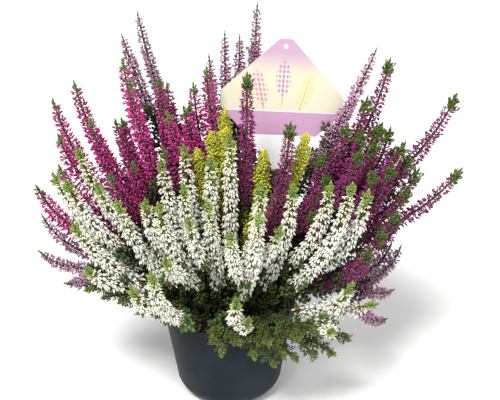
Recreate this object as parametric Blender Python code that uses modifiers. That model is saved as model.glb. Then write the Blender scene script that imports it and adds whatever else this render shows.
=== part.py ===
"""Potted heather: bud heathers of five colours in one dark plastic pot.

Metres, +Z up. The origin is the centre of the pot's underside, and the white sprays face -Y.
The layout below works in millimetres, and the meshes are built in metres.
"""
import math
from dataclasses import dataclass, field

import bmesh
import bpy
import numpy as np
from mathutils import Matrix, Vector

MM = 0.001
UP = np.array([0.0, 0.0, 1.0])

# Pot, all in millimetres
RIM_RADIUS = 60.0
POT_HEIGHT = 92.0
WALL = 1.8
BASE_RADIUS = 31.0
LOWER_RADIUS = 48.0
LOWER_HEIGHT = 17.0
DRAIN_RING = 19.0
DRAIN_RADIUS = 3.5
DRAIN_HOLES = 5
FIT = 0.3

# Soil
SOIL_TOP = 82.0
SOIL_CROWN = 1.5
FOOT_DEPTH = 9.0
FOOT_STUB = 3.0
FOOT_RING = 46.0
FOOT_PITCH = 9.6

# Plant label: a square card on its corner, cut in one piece with its stake
LABEL_FOOT = (32.0, -26.0)
LABEL_LEAN = math.radians(19.5)
LABEL_TURN = math.radians(4.2)
LABEL_STAKE = 138.0
LABEL_HALF = 59.6
CARD_HALF = 53.0
TOP_CUT = 5.4
LABEL_THICK = 0.8
STAKE_HALF = 4.5
STAKE_DEPTH = 14.0
STAKE_GAP = 2.5
CARD_GAP = 2.5
HANG_HOLE = 2.0

# Stems and leaves
STATIONS = 24
STEM_RADIUS = 1.3
UPRIGHT = 0.24
LOWERING = 0.25
LEAF_CORE = 1.7
LEAF_REACH = 5.0
LEAF_PITCH = 17.0
LEAF_SPREAD = 45.0
LEAF_START = 10.0

# Forks, as shares of the main shoot, and how the side shoots leave there
FORK_SHARE = 0.38
LOW_FORK_SHARE = 0.30
FORK_STEP = 0.06
FORK_FOLLOW = 0.6
FORK_TAPER = 4.0
FORK_SPREAD = 0.35

# Room between shoots, and between them and the pot, the soil and the ground
SHOOT_GAP = 0.5
POT_GAP = 1.5
RIM_ZONE = 10.0
GROUND_GAP = 12.0
LOOK_AHEAD = 12.0
BEND_ROUNDS = 160
PAIR_ROUNDS = 10


@dataclass(frozen=True)
class Kind:
    """Shape and colour of one heather, in millimetres.

    core and reach are the radii between and at the tips of its buds, which stand in rings a
    pitch apart and hang below their rings by the droop. flowered is the longest length with
    buds, tuft the leafy tip above them, lift how far the tip turns up, and rise how steeply
    the stem leaves the soil.
    """

    colour: tuple
    core: float
    reach: float
    pitch: float
    droop: float
    flowered: float
    tuft: float
    lift: float
    rise: float


SIDES = 4
KINDS = {
    "lilac": Kind((0.62, 0.42, 0.56), 1.8, 5.4, 10.5, -1.5, 95, 10, 0.3, 1.2),
    "pink": Kind((0.47, 0.06, 0.22), 2.8, 7.6, 13.5, -1.5, 140, 12, 1.5, 0.8),
    "purple": Kind((0.33, 0.05, 0.20), 2.4, 6.6, 13.0, -1.5, 130, 17, 2.0, 0.8),
    "white": Kind((0.83, 0.84, 0.72), 2.8, 7.8, 12.0, 2.5, 125, 14, 1.2, 0.3),
    "yellow": Kind((0.58, 0.56, 0.08), 3.2, 6.2, 9.5, -1.5, 70, 6, 1.2, 1.0),
    "green": Kind((0.10, 0.17, 0.05), 2.2, 5.2, 9.5, -1.0, 45, 5, -0.45, 1.2),
}

# Tips of each spray's spikes; the first is the main one and the others fork from it.
# A fourth number is that tip's own lift.
SPRAYS = {
    "lilac": [
        [(-77, 45, 348), (-87, 30, 335)],
        [(-4, 78, 317), (-16, 62, 303)],
        [(22, 85, 341), (13, 78, 314)],
        [(126, 45, 317), (112, 60, 262)],
        [(-162, -5, 180, 1.6), (-165, -15, 152, 1.0), (-141, -40, 133, 0.8)],
        [(151, -5, 152, 3.0), (145, 5, 146, 3.0), (145, -30, 121, 1.0), (138, -50, 104, 1.5)],
        [(-48, 85, 232), (-60, 103, 190), (-25, 118, 176)],
        [(46, 88, 236), (62, 100, 192), (32, 114, 198)],
        [(-88, 78, 205), (-98, 92, 160), (-122, 62, 148)],
        [(98, 90, 168), (122, 66, 150), (80, 104, 150)],
        [(0, 122, 158), (22, 124, 130), (-24, 122, 124)],
    ],
    "pink": [
        [(-146, 15, 283), (-141, -10, 262)],
        [(-126, 15, 299), (-115, 0, 273)],
        [(-102, 25, 253), (-91, 10, 266), (-78, -15, 239), (-103, -28, 231)],
        [(-85, 5, 323), (-78, -10, 313)],
        [(-54, 10, 307), (-47, 20, 293), (-53, -5, 251), (-32, 22, 275)],
        [(-25, 25, 306), (-30, 35, 286), (-38, 5, 280), (-51, -15, 285)],
        [(-141, -20, 238), (-159, -25, 223)],
        [(-118, 62, 214), (-142, 38, 190), (-92, 60, 238)],
    ],
    "purple": [
        [(13, -15, 320)],
        [(53, -20, 278), (85, -15, 227), (75, -30, 200)],
        [(135, 30, 311), (121, 25, 278), (109, 20, 256), (127, 22, 256)],
        [(191, 10, 289, 1.0), (153, -5, 251, 1.0), (151, -2, 240)],
        [(195, -15, 234, 0.7), (162, 0, 224, 1.2), (142, -35, 202, 1.5)],
        [(115, 10, 257), (80, -5, 241), (112, -15, 251)],
        [(136, 35, 246), (142, 30, 231), (123, 0, 251), (136, 12, 257)],
        [(142, -15, 234), (128, -20, 231), (154, -10, 212)],
        [(131, -40, 188), (121, -50, 176)],
        [(20, 98, 298), (4, 92, 255)],
        [(116, 70, 212), (146, 46, 182), (92, 62, 236)],
    ],
    "white": [
        [(-121, -25, 258), (-108, -38, 232)],
        [(-140, -45, 244), (-133, -55, 243)],
        [(-127, -60, 207), (-118, -66, 168)],
        [(-92, -45, 222), (-69, -50, 222)],
        [(-55, -75, 233), (-50, -90, 191)],
        [(-52, -35, 251), (-37, -45, 235)],
        [(-33, -20, 258), (-14, -30, 252)],
        [(2, -25, 271)],
        [(-18, -60, 225), (-30, -70, 219)],
        [(29, -50, 237, 2.2), (44, -65, 206, 2.0)],
        [(25, -80, 227, 2.2), (4, -85, 213, 2.0)],
        [(61, -45, 232, 4.0), (86, -50, 237, 3.5)],
        [(103, -60, 245, 2.6), (112, -55, 234, 3.0)],
        [(-62, -95, 180, 3.0), (-79, -85, 159, 2.0)],
        [(7, -88, 150, 2.0), (18, -88, 131, 3.5)],
        [(103, -85, 163, 2.0), (127, -70, 133, 0.2), (85, -100, 127, 2.0)],
    ],
    "yellow": [
        [(-4, 0, 277), (-14, -8, 263), (-7, -15, 269), (-27, 0, 249)],
        [(25, -10, 247)],
        [(69, -5, 258)],
    ],
    "green": [
        [(-12, -80, 97), (-5, -84, 87), (11, -90, 104)],
        [(23, -86, 84), (41, -80, 73), (36, -95, 108)],
        [(49, -85, 85), (60, -76, 76), (61, -95, 113)],
        [(78, -72, 78), (93, -66, 76), (106, -60, 86), (78, -90, 115)],
        [(-79, -60, 117), (-94, -50, 121), (-54, -60, 104)],
        [(-111, -40, 120), (-125, -30, 120), (-135, -20, 118)],
        [(-70, 60, 110), (-90, 35, 115), (-40, 80, 105)],
        [(20, 88, 105), (60, 70, 110), (90, 40, 105)],
    ],
}


@dataclass
class Shoot:
    """One spike with its stem: the axis runs from the foot or fork to the tip."""

    kind: Kind
    spray: int
    axis: np.ndarray
    fork: int | None = None
    main: "Shoot | None" = None
    radii: np.ndarray = field(default_factory=lambda: np.zeros(0))

    @property
    def length(self) -> float:
        """Length along the axis."""
        return float(np.linalg.norm(np.diff(self.axis, axis=0), axis=1).sum())


def unit(vector):
    """The vector at length one."""
    return vector / np.linalg.norm(vector)


def label_axes():
    """Directions across the card, up along it, and out of its front face."""
    along = np.array([math.sin(LABEL_TURN),
                      math.cos(LABEL_TURN) * math.sin(LABEL_LEAN),
                      math.cos(LABEL_TURN) * math.cos(LABEL_LEAN)])
    front = np.array([0.0, -math.cos(LABEL_LEAN), math.sin(LABEL_LEAN)])
    across = np.cross(along, front)
    return unit(across), along, unit(np.cross(across, along))


def curve_through(start, leave, lift, end):
    """Smooth curve that leaves a point in a direction and ends turned up by the lift."""
    reach = np.linalg.norm(end - start) / 3
    near = start + reach * leave
    arrive = unit(unit(end - start) + lift * UP)
    far = end - reach * (1 + UPRIGHT * max(lift - 0.5, 0)) * arrive
    t = np.linspace(0.0, 1.0, STATIONS)[:, None]
    return (1 - t) ** 3 * start + 3 * t * (1 - t) ** 2 * near + 3 * t * t * (1 - t) * far + t ** 3 * end


def place_feet(sprays):
    """Feet on the soil: a spray that leans more stands nearer the rim, and none crowd."""
    means = np.array([np.mean([tip[:3] for tip in tips], axis=0) for _, tips in sprays])
    lean = np.hypot(means[:, 0], means[:, 1]) / (means[:, 2] - SOIL_TOP + 40)
    rank = np.argsort(np.argsort(lean))
    radius = FOOT_RING * np.sqrt((rank + 0.5) / len(means))
    feet = means[:, :2] / np.linalg.norm(means[:, :2], axis=1)[:, None] * radius[:, None]
    feet = np.vstack([feet, LABEL_FOOT])
    stake = np.array([*LABEL_FOOT, SOIL_TOP])
    in_front = np.append((means - stake) @ label_axes()[2] > 0, False)
    for _ in range(200):
        apart = feet[:, None] - feet[None]
        distance = np.linalg.norm(apart, axis=2) + 1000 * np.eye(len(feet))
        short = np.clip(FOOT_PITCH - distance, 0, None)
        feet = feet + 0.25 * (short[..., None] * apart / distance[..., None]).sum(axis=1)
        beside = feet - LABEL_FOOT
        crosses = (in_front == (beside[:, 1] > 0)) & (np.abs(beside[:, 0]) < STAKE_HALF + 4)
        feet[:, 0] += 0.5 * np.sign(beside[:, 0]) * crosses
        feet *= np.minimum(1, FOOT_RING / np.linalg.norm(feet, axis=1))[:, None]
        feet[-1] = LABEL_FOOT
    return feet[:-1]


def grow_shoots():
    """Every shoot on its own smooth curve, before they make room for each other."""
    sprays = [(KINDS[name], tips) for name, rows in SPRAYS.items() for tips in rows]
    shoots = []
    for number, ((kind, tips), foot) in enumerate(zip(sprays, place_feet(sprays))):
        lifts = [tip[3] if len(tip) > 3 else kind.lift for tip in tips]
        start = np.array([*foot, SOIL_TOP + FOOT_STUB])
        tip = np.array(tips[0][:3], float)
        rise = kind.rise - LOWERING * max(lifts[0] - 1, 0)
        leave = unit(unit(tip - start) + rise * UP)
        main = Shoot(kind, number, curve_through(start, leave, lifts[0], tip))
        shoots.append(main)
        for turn, place in enumerate(tips[1:]):
            share = LOW_FORK_SHARE if kind.lift < 0 else FORK_SHARE
            fork = round(STATIONS * (share + FORK_STEP * (turn % 2)))
            start = main.axis[fork]
            tip = np.array(place[:3], float)
            leave = unit(unit(tip - start) + FORK_FOLLOW * unit(main.axis[fork + 1] - start))
            axis = curve_through(start, leave, lifts[turn + 1], tip)
            shoots.append(Shoot(kind, number, axis, fork, main))
    for shoot in shoots:
        shoot.radii = envelope(shoot)
    return shoots


def flowers_from(shoot, length):
    """Where along the shoot its flowers begin."""
    if shoot.main is None:
        return length - min(shoot.kind.flowered, 0.70 * length)
    return length - min(0.85 * shoot.kind.flowered, 0.75 * length)


def leaf_reach(along):
    """Radius of the leafy stem, which is slimmer near the foot or fork."""
    return LEAF_REACH * (0.6 + 0.4 * np.minimum(1, along / LEAF_SPREAD))


def envelope(shoot):
    """Radius that leaves and buds fill at each station."""
    length = shoot.length
    along = np.linspace(0.0, 1.0, STATIONS) * length
    leafy = along < flowers_from(shoot, length) - 4
    radii = np.where(leafy, leaf_reach(along), shoot.kind.reach)
    radii = radii * np.clip(0.55 + 0.45 * (length - along) / 30, 0, 1)
    return np.where(along < 8, STEM_RADIUS + 0.3, radii)


def nearest_shares(a, b, c, d):
    """Shares along the segments a-b and c-d at which they come nearest."""
    ab, cd, ca = b - a, d - c, a - c
    aa = (ab * ab).sum(1) + 1e-9
    cc = (cd * cd).sum(1) + 1e-9
    ac = (ab * cd).sum(1)
    first = (ab * ca).sum(1)
    second = (cd * ca).sum(1)
    share = np.clip((ac * second - first * cc) / (aa * cc - ac * ac + 1e-9), 0, 1)
    other = np.clip((ac * share + second) / cc, 0, 1)
    return np.clip((ac * other - first) / aa, 0, 1), other


def near_pairs(points, spray, fork_way, radii):
    """Pairs of axis segments that may come to touch, with the distance that each pair keeps."""
    count, stations = points.shape[:2]
    middle = (0.5 * (points[:, 1:] + points[:, :-1])).reshape(-1, 3)
    owner = np.repeat(np.arange(count), stations - 1)
    reach = np.maximum(radii[:, 1:], radii[:, :-1]).reshape(-1)
    way = fork_way.reshape(-1)
    square = (middle * middle).sum(1)
    distance = np.sqrt(np.maximum(square[:, None] + square[None] - 2 * middle @ middle.T, 0))
    keep = reach[:, None] + reach[None] + SHOOT_GAP
    same = spray[owner][:, None] == spray[owner][None]
    fork_keep = FORK_SPREAD * np.minimum(way[:, None], way[None])
    keep = np.where(same, np.minimum(keep, fork_keep), keep)
    close = (distance < keep + LOOK_AHEAD) & (keep > 0) & (owner[:, None] < owner[None])
    first, second = np.nonzero(close)
    start = owner * stations + np.tile(np.arange(stations - 1), count)
    return start[first], start[second], keep[first, second]


def push_off_pot(points, radii):
    """Shift that keeps each station over the rim or outside the wall, and off the ground."""
    shift = np.zeros_like(points)
    out = np.hypot(points[..., 0], points[..., 1])
    over_rim = (out > RIM_RADIUS - RIM_ZONE) & (out < RIM_RADIUS + radii + 1)
    shift[..., 2] += 0.5 * np.clip(POT_HEIGHT + POT_GAP + radii - points[..., 2], 0, None) * over_rim
    beside = (points[..., 2] < POT_HEIGHT - WALL) & (out > RIM_RADIUS - RIM_ZONE)
    away = 0.5 * np.clip(RIM_RADIUS + POT_GAP + radii - out, 0, None) * beside / np.maximum(out, 1)
    shift[..., 0] += away * points[..., 0]
    shift[..., 1] += away * points[..., 1]
    inside = out <= RIM_RADIUS - RIM_ZONE
    over_soil = np.clip(SOIL_TOP + SOIL_CROWN + POT_GAP + radii - points[..., 2], 0, None) * inside
    over_soil[:, :3] = 0
    shift[..., 2] += 0.5 * over_soil
    shift[..., 2] += np.clip(GROUND_GAP + radii - points[..., 2], 0, None)
    return shift


def push_off_label(points, radii, sides):
    """Shift that keeps each station off the card's faces and round the stake."""
    across, along, front = label_axes()
    rel = points - np.array([*LABEL_FOOT, SOIL_TOP])
    a, w, n = rel @ across, rel @ along, rel @ front
    card = np.abs(a) + np.abs(w - LABEL_STAKE - LABEL_HALF) < LABEL_HALF + 1.5 * radii
    gap = np.clip(radii + CARD_GAP - n * sides[:, None], 0, LOOK_AHEAD) * card
    shift = 0.5 * (gap * sides[:, None])[..., None] * front
    beside = (w > -5) & (w < LABEL_STAKE + 5)
    radial = np.hypot(a, n) + 1e-6
    short = np.clip(STAKE_HALF + STAKE_GAP + radii - radial, 0, None) * beside
    return shift + 0.5 * (short / radial)[..., None] * (a[..., None] * across + n[..., None] * front)


def bend_clear(shoots):
    """Bends the shoots smoothly until none runs through another, the pot or the label."""
    still = np.array([shoot.axis for shoot in shoots])
    radii = np.array([shoot.radii for shoot in shoots])
    spray = np.array([shoot.spray for shoot in shoots])
    rows = {id(shoot): row for row, shoot in enumerate(shoots)}
    lengths = np.array([shoot.length for shoot in shoots])
    share = (np.arange(STATIONS - 1) + 0.5) / (STATIONS - 1)
    from_fork = lengths[:, None] * share[None]
    from_fork[[shoot.main is None for shoot in shoots]] = np.inf
    foot = np.array([*LABEL_FOOT, SOIL_TOP])
    sides = np.where((still[:, -1] - foot) @ label_axes()[2] > 0, 1.0, -1.0)
    bend = np.zeros_like(still)
    for turn in range(BEND_ROUNDS):
        if turn % PAIR_ROUNDS == 0:
            first, second, keep = near_pairs(still + bend, spray, from_fork, radii)
        points = still + bend
        flat = points.reshape(-1, 3)
        s, t = nearest_shares(flat[first], flat[first + 1], flat[second], flat[second + 1])
        near = flat[first] + s[:, None] * (flat[first + 1] - flat[first])
        other = flat[second] + t[:, None] * (flat[second + 1] - flat[second])
        apart = near - other
        distance = np.linalg.norm(apart, axis=1) + 1e-6
        over = np.clip(keep - distance, 0, None)
        hit = over > 0
        push = np.zeros_like(flat)
        weight = np.zeros(len(flat))
        for at, part, sign in ((first, 1 - s, 1), (first + 1, s, 1),
                               (second, 1 - t, -1), (second + 1, t, -1)):
            step = sign * (part * over / distance)[:, None] * apart
            np.add.at(push, at[hit], step[hit])
            np.add.at(weight, at[hit], part[hit])
        push /= np.maximum(weight, 1)[:, None]
        bend += 0.7 * push.reshape(points.shape) + push_off_pot(points, radii)
        bend += push_off_label(points, radii, sides)
        smooth = bend.copy()
        smooth[:, 1:-1] = 0.25 * bend[:, :-2] + 0.5 * bend[:, 1:-1] + 0.25 * bend[:, 2:]
        smooth[:, -1] = 0.5 * (bend[:, -1] + bend[:, -2])
        bend = smooth
        for row, shoot in enumerate(shoots):
            bend[row, 0] = 0 if shoot.main is None else bend[rows[id(shoot.main)], shoot.fork]
    for shoot, axis in zip(shoots, still + bend):
        shoot.axis = axis


def ring_plan(shoot, forks):
    """Rings of the shoot's surface: distance along it, low radius, high radius and droop."""
    length = shoot.length
    kind = shoot.kind
    start = flowers_from(shoot, length)
    rings = []
    if shoot.main is None:
        rings += [(place, STEM_RADIUS, STEM_RADIUS, 0.0) for place in (-FOOT_DEPTH - FOOT_STUB, 0.0)]
    else:
        rings += [(FORK_TAPER, STEM_RADIUS, STEM_RADIUS, 0.0)]
    leaves = max(round((start - LEAF_START) / LEAF_PITCH), 1)
    places = np.linspace(LEAF_START, start - LEAF_START / 2, leaves) if leaves > 1 else [0.6 * start]
    for place in places:
        rings.append((place, LEAF_CORE, float(leaf_reach(place)), -1.0))
    end = length - kind.tuft
    buds = max(round((end - start) / kind.pitch) + 1, 2)
    for place in np.linspace(start, end, buds):
        fine = min(1.0, 0.5 + 0.5 * (length - place) / 35)
        rings.append((place, kind.core * fine, kind.reach * fine, kind.droop * fine))
    rings.append((length - 0.4 * kind.tuft, 0.5 * kind.core, 0.6 * kind.reach, -1.0))
    for fork in forks:
        place = float(np.linalg.norm(np.diff(shoot.axis[:fork + 1], axis=0), axis=1).sum())
        near = min(rings[2:], key=lambda ring: abs(ring[0] - place))
        if near[0] < start:
            rings[rings.index(near)] = (place, *near[1:])
    return sorted(rings)


def along_axis(axis, place):
    """Point and direction at a distance along an axis, which runs on straight past its ends."""
    steps = np.linalg.norm(np.diff(axis, axis=0), axis=1)
    ways = np.concatenate([[0.0], np.cumsum(steps)])
    if place <= 0:
        return axis[0] + place * UP, UP
    at = min(int(np.searchsorted(ways, place)) - 1, len(steps) - 1)
    share = (place - ways[at]) / steps[at]
    ahead = unit(axis[min(at + 2, len(axis) - 1)] - axis[at])
    behind = unit(axis[at + 1] - axis[max(at - 1, 0)])
    return axis[at] + share * (axis[at + 1] - axis[at]), unit((1 - share) * behind + share * ahead)


def shoot_mesh(name, shoot, forks=()):
    """Sphere drawn out along the shoot's axis, with every other vertex raised to a bud's tip."""
    rings = ring_plan(shoot, forks)
    rows = len(rings) + 1
    across = np.array([1.0, 0.0, 0.0])
    places = []
    for place, low, high, droop in rings:
        point, ahead = along_axis(shoot.axis, place)
        across = unit(across - (across @ ahead) * ahead)
        places.append((point, ahead, across, np.cross(ahead, across), low, high, droop))
    bm = bmesh.new()
    bmesh.ops.create_uvsphere(bm, u_segments=SIDES, v_segments=rows, radius=1)
    for vertex in bm.verts:
        row = round(math.acos(max(-1.0, min(1.0, -vertex.co.z))) / math.pi * rows)
        if row == 0:
            vertex.co = Vector((places[0][0] if shoot.main is None else shoot.axis[0]) * MM)
        elif row == rows:
            vertex.co = Vector(shoot.axis[-1] * MM)
        else:
            turn = math.atan2(vertex.co.y, vertex.co.x)
            side = round(turn / (2 * math.pi) * SIDES)
            point, ahead, over, beside, low, high, droop = places[row - 1]
            raised = (side + row) % 2 == 0
            radius = high if raised else low
            point = point - ahead * (droop if raised else 0.0)
            vertex.co = Vector((point + radius * (math.cos(turn) * over + math.sin(turn) * beside)) * MM)
    quads = [face for face in bm.faces if len(face.verts) == 4]
    bmesh.ops.triangulate(bm, faces=quads, quad_method="SHORT_EDGE")
    mesh = bpy.data.meshes.new(name)
    bm.to_mesh(mesh)
    bm.free()
    return mesh


def make_material(name, colour, roughness):
    """Principled material of one colour."""
    material = bpy.data.materials.new(name)
    material.use_nodes = True
    shader = material.node_tree.nodes["Principled BSDF"]
    shader.inputs["Base Color"].default_value = (*colour, 1.0)
    shader.inputs["Roughness"].default_value = roughness
    shader.inputs["Metallic"].default_value = 0.0
    return material


def add_object(name, mesh, collection, material=None):
    """Object of a mesh or curve, linked to a collection."""
    body = bpy.data.objects.new(name, mesh)
    collection.objects.link(body)
    if material is not None:
        body.data.materials.append(material)
    return body


def bake(body):
    """Replaces the object's mesh with its evaluated one."""
    bpy.context.view_layer.update()
    depsgraph = bpy.context.evaluated_depsgraph_get()
    mesh = bpy.data.meshes.new_from_object(body.evaluated_get(depsgraph))
    body.modifiers.clear()
    body.data = mesh


def boolean_with(body, collection, operation):
    """Boolean modifier that takes every object of a collection."""
    modifier = body.modifiers.new(operation.lower(), "BOOLEAN")
    modifier.operation = operation
    modifier.operand_type = "COLLECTION"
    modifier.collection = collection
    modifier.solver = "EXACT"


def keep_outer_body(mesh):
    """Fills the pockets that close between joined shoots, by keeping only the largest surface."""
    bm = bmesh.new()
    bm.from_mesh(mesh)
    left = set(bm.verts)
    islands = []
    while left:
        island, edge = set(), {left.pop()}
        while edge:
            island |= edge
            edge = {link.other_vert(vertex) for vertex in edge for link in vertex.link_edges} - island
        left -= island
        islands.append(island)
    outer = max(islands, key=len)
    pockets = [vertex for island in islands if island is not outer for vertex in island]
    bmesh.ops.delete(bm, geom=pockets, context="VERTS")
    bm.to_mesh(mesh)
    bm.free()


def turned(name, profile, collection, material, steps):
    """Body turned about Z from a profile of (radius, height) points, its outer side running down."""
    mesh = bpy.data.meshes.new(name)
    mesh.from_pydata([(r * MM, 0, z * MM) for r, z in profile],
                     [(k, k + 1) for k in range(len(profile) - 1)], [])
    body = add_object(name, mesh, collection, material)
    screw = body.modifiers.new("turn", "SCREW")
    screw.steps = screw.render_steps = steps
    screw.use_merge_vertices = True
    screw.merge_threshold = 0.00005
    bake(body)
    return body


def wall_at(height, inset=0.0):
    """Radius of the pot's outer wall at a height, moved in by an inset."""
    share = (height - LOWER_HEIGHT) / (POT_HEIGHT - LOWER_HEIGHT)
    return LOWER_RADIUS + share * (RIM_RADIUS - LOWER_RADIUS) - inset


def lower_turn(inset, points):
    """Points of the rounded lower edge, from the wall down to the base."""
    centre = (BASE_RADIUS, LOWER_HEIGHT)
    turns = [k / (points - 1) * math.pi / 2 for k in range(points)]
    return [(centre[0] + (LOWER_RADIUS - BASE_RADIUS - inset) * math.cos(t),
             centre[1] - (LOWER_HEIGHT - inset) * math.sin(t)) for t in turns]


def make_pot(collection, cutters):
    """Thin-walled pot with a rounded lower edge and drain holes in its base."""
    outer = [(RIM_RADIUS - 0.3, POT_HEIGHT), (RIM_RADIUS, POT_HEIGHT - 0.6)]
    outer += lower_turn(0.0, 5) + [(0.0, 0.0)]
    inner = [(0.0, WALL)] + lower_turn(WALL, 3)[::-1]
    inner += [(wall_at(POT_HEIGHT, WALL), POT_HEIGHT)]
    pot = turned("pot", inner + outer, collection, make_material("pot", (0.035, 0.045, 0.055), 0.5), 36)
    for hole in range(DRAIN_HOLES):
        turn = 2 * math.pi * (hole + 0.2) / DRAIN_HOLES
        bm = bmesh.new()
        bmesh.ops.create_cone(bm, cap_ends=True, segments=8, radius1=DRAIN_RADIUS * MM,
                              radius2=DRAIN_RADIUS * MM, depth=3 * WALL * MM)
        mesh = bpy.data.meshes.new(f"drain_{hole + 1}")
        bm.to_mesh(mesh)
        bm.free()
        cutter = add_object(mesh.name, mesh, cutters)
        cutter.location = Vector((DRAIN_RING * math.cos(turn), DRAIN_RING * math.sin(turn), WALL / 2)) * MM
    boolean_with(pot, cutters, "DIFFERENCE")
    bake(pot)
    pot.data.shade_smooth()
    pot.data.set_sharp_from_angle(angle=math.radians(35))


def make_soil(collection, cutters, shoots):
    """Soil plug in the pot, with a plain hole for every stem and for the label's stake."""
    inset = WALL + FIT
    profile = [(0.0, SOIL_TOP + SOIL_CROWN), (28.0, SOIL_TOP + 0.8 * SOIL_CROWN),
               (wall_at(SOIL_TOP, inset) - 2, SOIL_TOP), (wall_at(SOIL_TOP - 1.5, inset), SOIL_TOP - 1.5)]
    profile += lower_turn(inset, 3) + [(0.0, inset)]
    soil = turned("soil", profile, collection, make_material("soil", (0.045, 0.028, 0.018), 0.95), 24)
    for shoot in shoots:
        if shoot.main is None:
            radius = (STEM_RADIUS + FIT / math.cos(math.pi / SIDES)) * MM
            bm = bmesh.new()
            bmesh.ops.create_cone(bm, cap_ends=True, segments=SIDES, radius1=radius, radius2=radius,
                                  depth=2 * (FOOT_DEPTH + FIT) * MM)
            mesh = bpy.data.meshes.new(f"stem_hole_{shoot.spray + 1}")
            bm.to_mesh(mesh)
            bm.free()
            cutter = add_object(mesh.name, mesh, cutters)
            cutter.location = Vector((shoot.axis[0][0], shoot.axis[0][1], SOIL_TOP)) * MM
    bm = bmesh.new()
    bmesh.ops.create_cube(bm, size=1)
    mesh = bpy.data.meshes.new("stake_hole")
    bm.to_mesh(mesh)
    bm.free()
    slot = add_object("stake_hole", mesh, cutters)
    slot.matrix_world = label_matrix() @ Matrix.Diagonal((
        2 * (STAKE_HALF + FIT) * MM, 2 * (STAKE_DEPTH + FIT) * MM, (LABEL_THICK + 2 * FIT) * MM, 1))
    boolean_with(soil, cutters, "DIFFERENCE")
    bake(soil)


def label_matrix():
    """Place of the label's own axes: X across it, Y up its stake, Z out of its front."""
    across, along, front = label_axes()
    rotation = Matrix((across, along, front)).transposed().to_4x4()
    return Matrix.Translation(Vector((*LABEL_FOOT, SOIL_TOP)) * MM) @ rotation


def make_label(collection):
    """Square card on its corner, its other corners cut, with a hang hole and a pointed stake."""
    middle = LABEL_STAKE + LABEL_HALF
    outline = [(0, -STAKE_DEPTH), (STAKE_HALF, -STAKE_DEPTH + 8)]
    outline += [(STAKE_HALF, LABEL_STAKE + STAKE_HALF)]
    corner = LABEL_HALF - CARD_HALF
    outline += [(CARD_HALF, middle - corner), (CARD_HALF, middle + corner)]
    outline += [(TOP_CUT, middle + LABEL_HALF - TOP_CUT)]
    outline += [(-x, y) for x, y in outline[:0:-1]]
    eighths = [k * math.pi / 4 for k in range(8)]
    hole_height = middle + LABEL_HALF - 12
    hole = [(HANG_HOLE * math.cos(t), hole_height + HANG_HOLE * math.sin(t)) for t in eighths]
    curve = bpy.data.curves.new("label", "CURVE")
    curve.dimensions = "2D"
    curve.fill_mode = "BOTH"
    curve.extrude = LABEL_THICK / 2 * MM
    for points in (outline, hole):
        spline = curve.splines.new("POLY")
        spline.points.add(len(points) - 1)
        for point, (x, y) in zip(spline.points, points):
            point.co = (x * MM, y * MM, 0, 1)
        spline.use_cyclic_u = True
    label = add_object("label", curve, collection, make_material("label", (0.85, 0.72, 0.74), 0.45))
    label.matrix_world = label_matrix()


def make_sprays(collection, joins, shoots):
    """One body for each spray: the main shoot joined with its side shoots."""
    materials = {name: make_material(name, kind.colour, 0.7) for name, kind in KINDS.items()}
    counts = dict.fromkeys(KINDS, 0)
    names = [name for name, rows in SPRAYS.items() for _ in rows]
    for number, kind_name in enumerate(names):
        counts[kind_name] += 1
        name = f"{kind_name}_spray_{counts[kind_name]:02d}"
        main, *others = [shoot for shoot in shoots if shoot.spray == number]
        mesh = shoot_mesh(name, main, sorted({shoot.fork for shoot in others}))
        body = add_object(name, mesh, collection, materials[kind_name])
        if others:
            for turn, shoot in enumerate(others):
                add_object(f"{name}_side_{turn + 1}", shoot_mesh(f"{name}_side_{turn + 1}", shoot), joins)
            boolean_with(body, joins, "UNION")
            bake(body)
            keep_outer_body(body.data)
            for side in list(joins.objects):
                bpy.data.objects.remove(side)
        body.data.materials.clear()
        body.data.materials.append(materials[kind_name])


def make_collection(name, hidden=False):
    """Collection in the scene, hidden when its objects only cut or join."""
    collection = bpy.data.collections.new(name)
    bpy.context.scene.collection.children.link(collection)
    collection.hide_render = hidden
    return collection


def main():
    """Builds the plant, the label, the soil and the pot."""
    for leftover in list(bpy.data.objects):
        bpy.data.objects.remove(leftover)
    parts = make_collection("potted_heather")
    drains = make_collection("drain_cutters", hidden=True)
    holes = make_collection("soil_cutters", hidden=True)
    joins = make_collection("side_shoots", hidden=True)
    shoots = grow_shoots()
    bend_clear(shoots)
    make_sprays(parts, joins, shoots)
    make_label(parts)
    make_soil(parts, holes, shoots)
    make_pot(parts, drains)
    for cutter in [*drains.objects, *holes.objects]:
        cutter.hide_render = True
        cutter.display_type = "WIRE"


main()
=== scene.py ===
"""Potted heather, finished: buds, leaves, stems, peat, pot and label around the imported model."""
import logging
import math
from dataclasses import dataclass, field
from enum import Enum

import bpy
import numpy as np
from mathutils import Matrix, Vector


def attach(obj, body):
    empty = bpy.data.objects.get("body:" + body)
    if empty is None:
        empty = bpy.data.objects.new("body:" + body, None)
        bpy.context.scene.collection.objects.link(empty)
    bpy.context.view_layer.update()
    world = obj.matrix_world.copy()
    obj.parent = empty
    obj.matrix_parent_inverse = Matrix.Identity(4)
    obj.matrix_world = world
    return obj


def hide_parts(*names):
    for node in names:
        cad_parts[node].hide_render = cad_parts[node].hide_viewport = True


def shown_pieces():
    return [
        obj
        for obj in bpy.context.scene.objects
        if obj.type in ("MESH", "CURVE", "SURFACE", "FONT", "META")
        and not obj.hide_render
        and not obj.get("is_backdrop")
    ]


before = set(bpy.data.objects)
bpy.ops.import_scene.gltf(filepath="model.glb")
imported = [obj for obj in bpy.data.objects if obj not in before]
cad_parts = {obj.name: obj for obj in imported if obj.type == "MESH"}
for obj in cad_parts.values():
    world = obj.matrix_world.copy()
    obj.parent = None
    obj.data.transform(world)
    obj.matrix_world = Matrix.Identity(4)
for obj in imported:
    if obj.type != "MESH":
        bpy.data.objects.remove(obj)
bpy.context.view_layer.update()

LOG = logging.getLogger("potted_heather")
MM = 0.001
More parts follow.
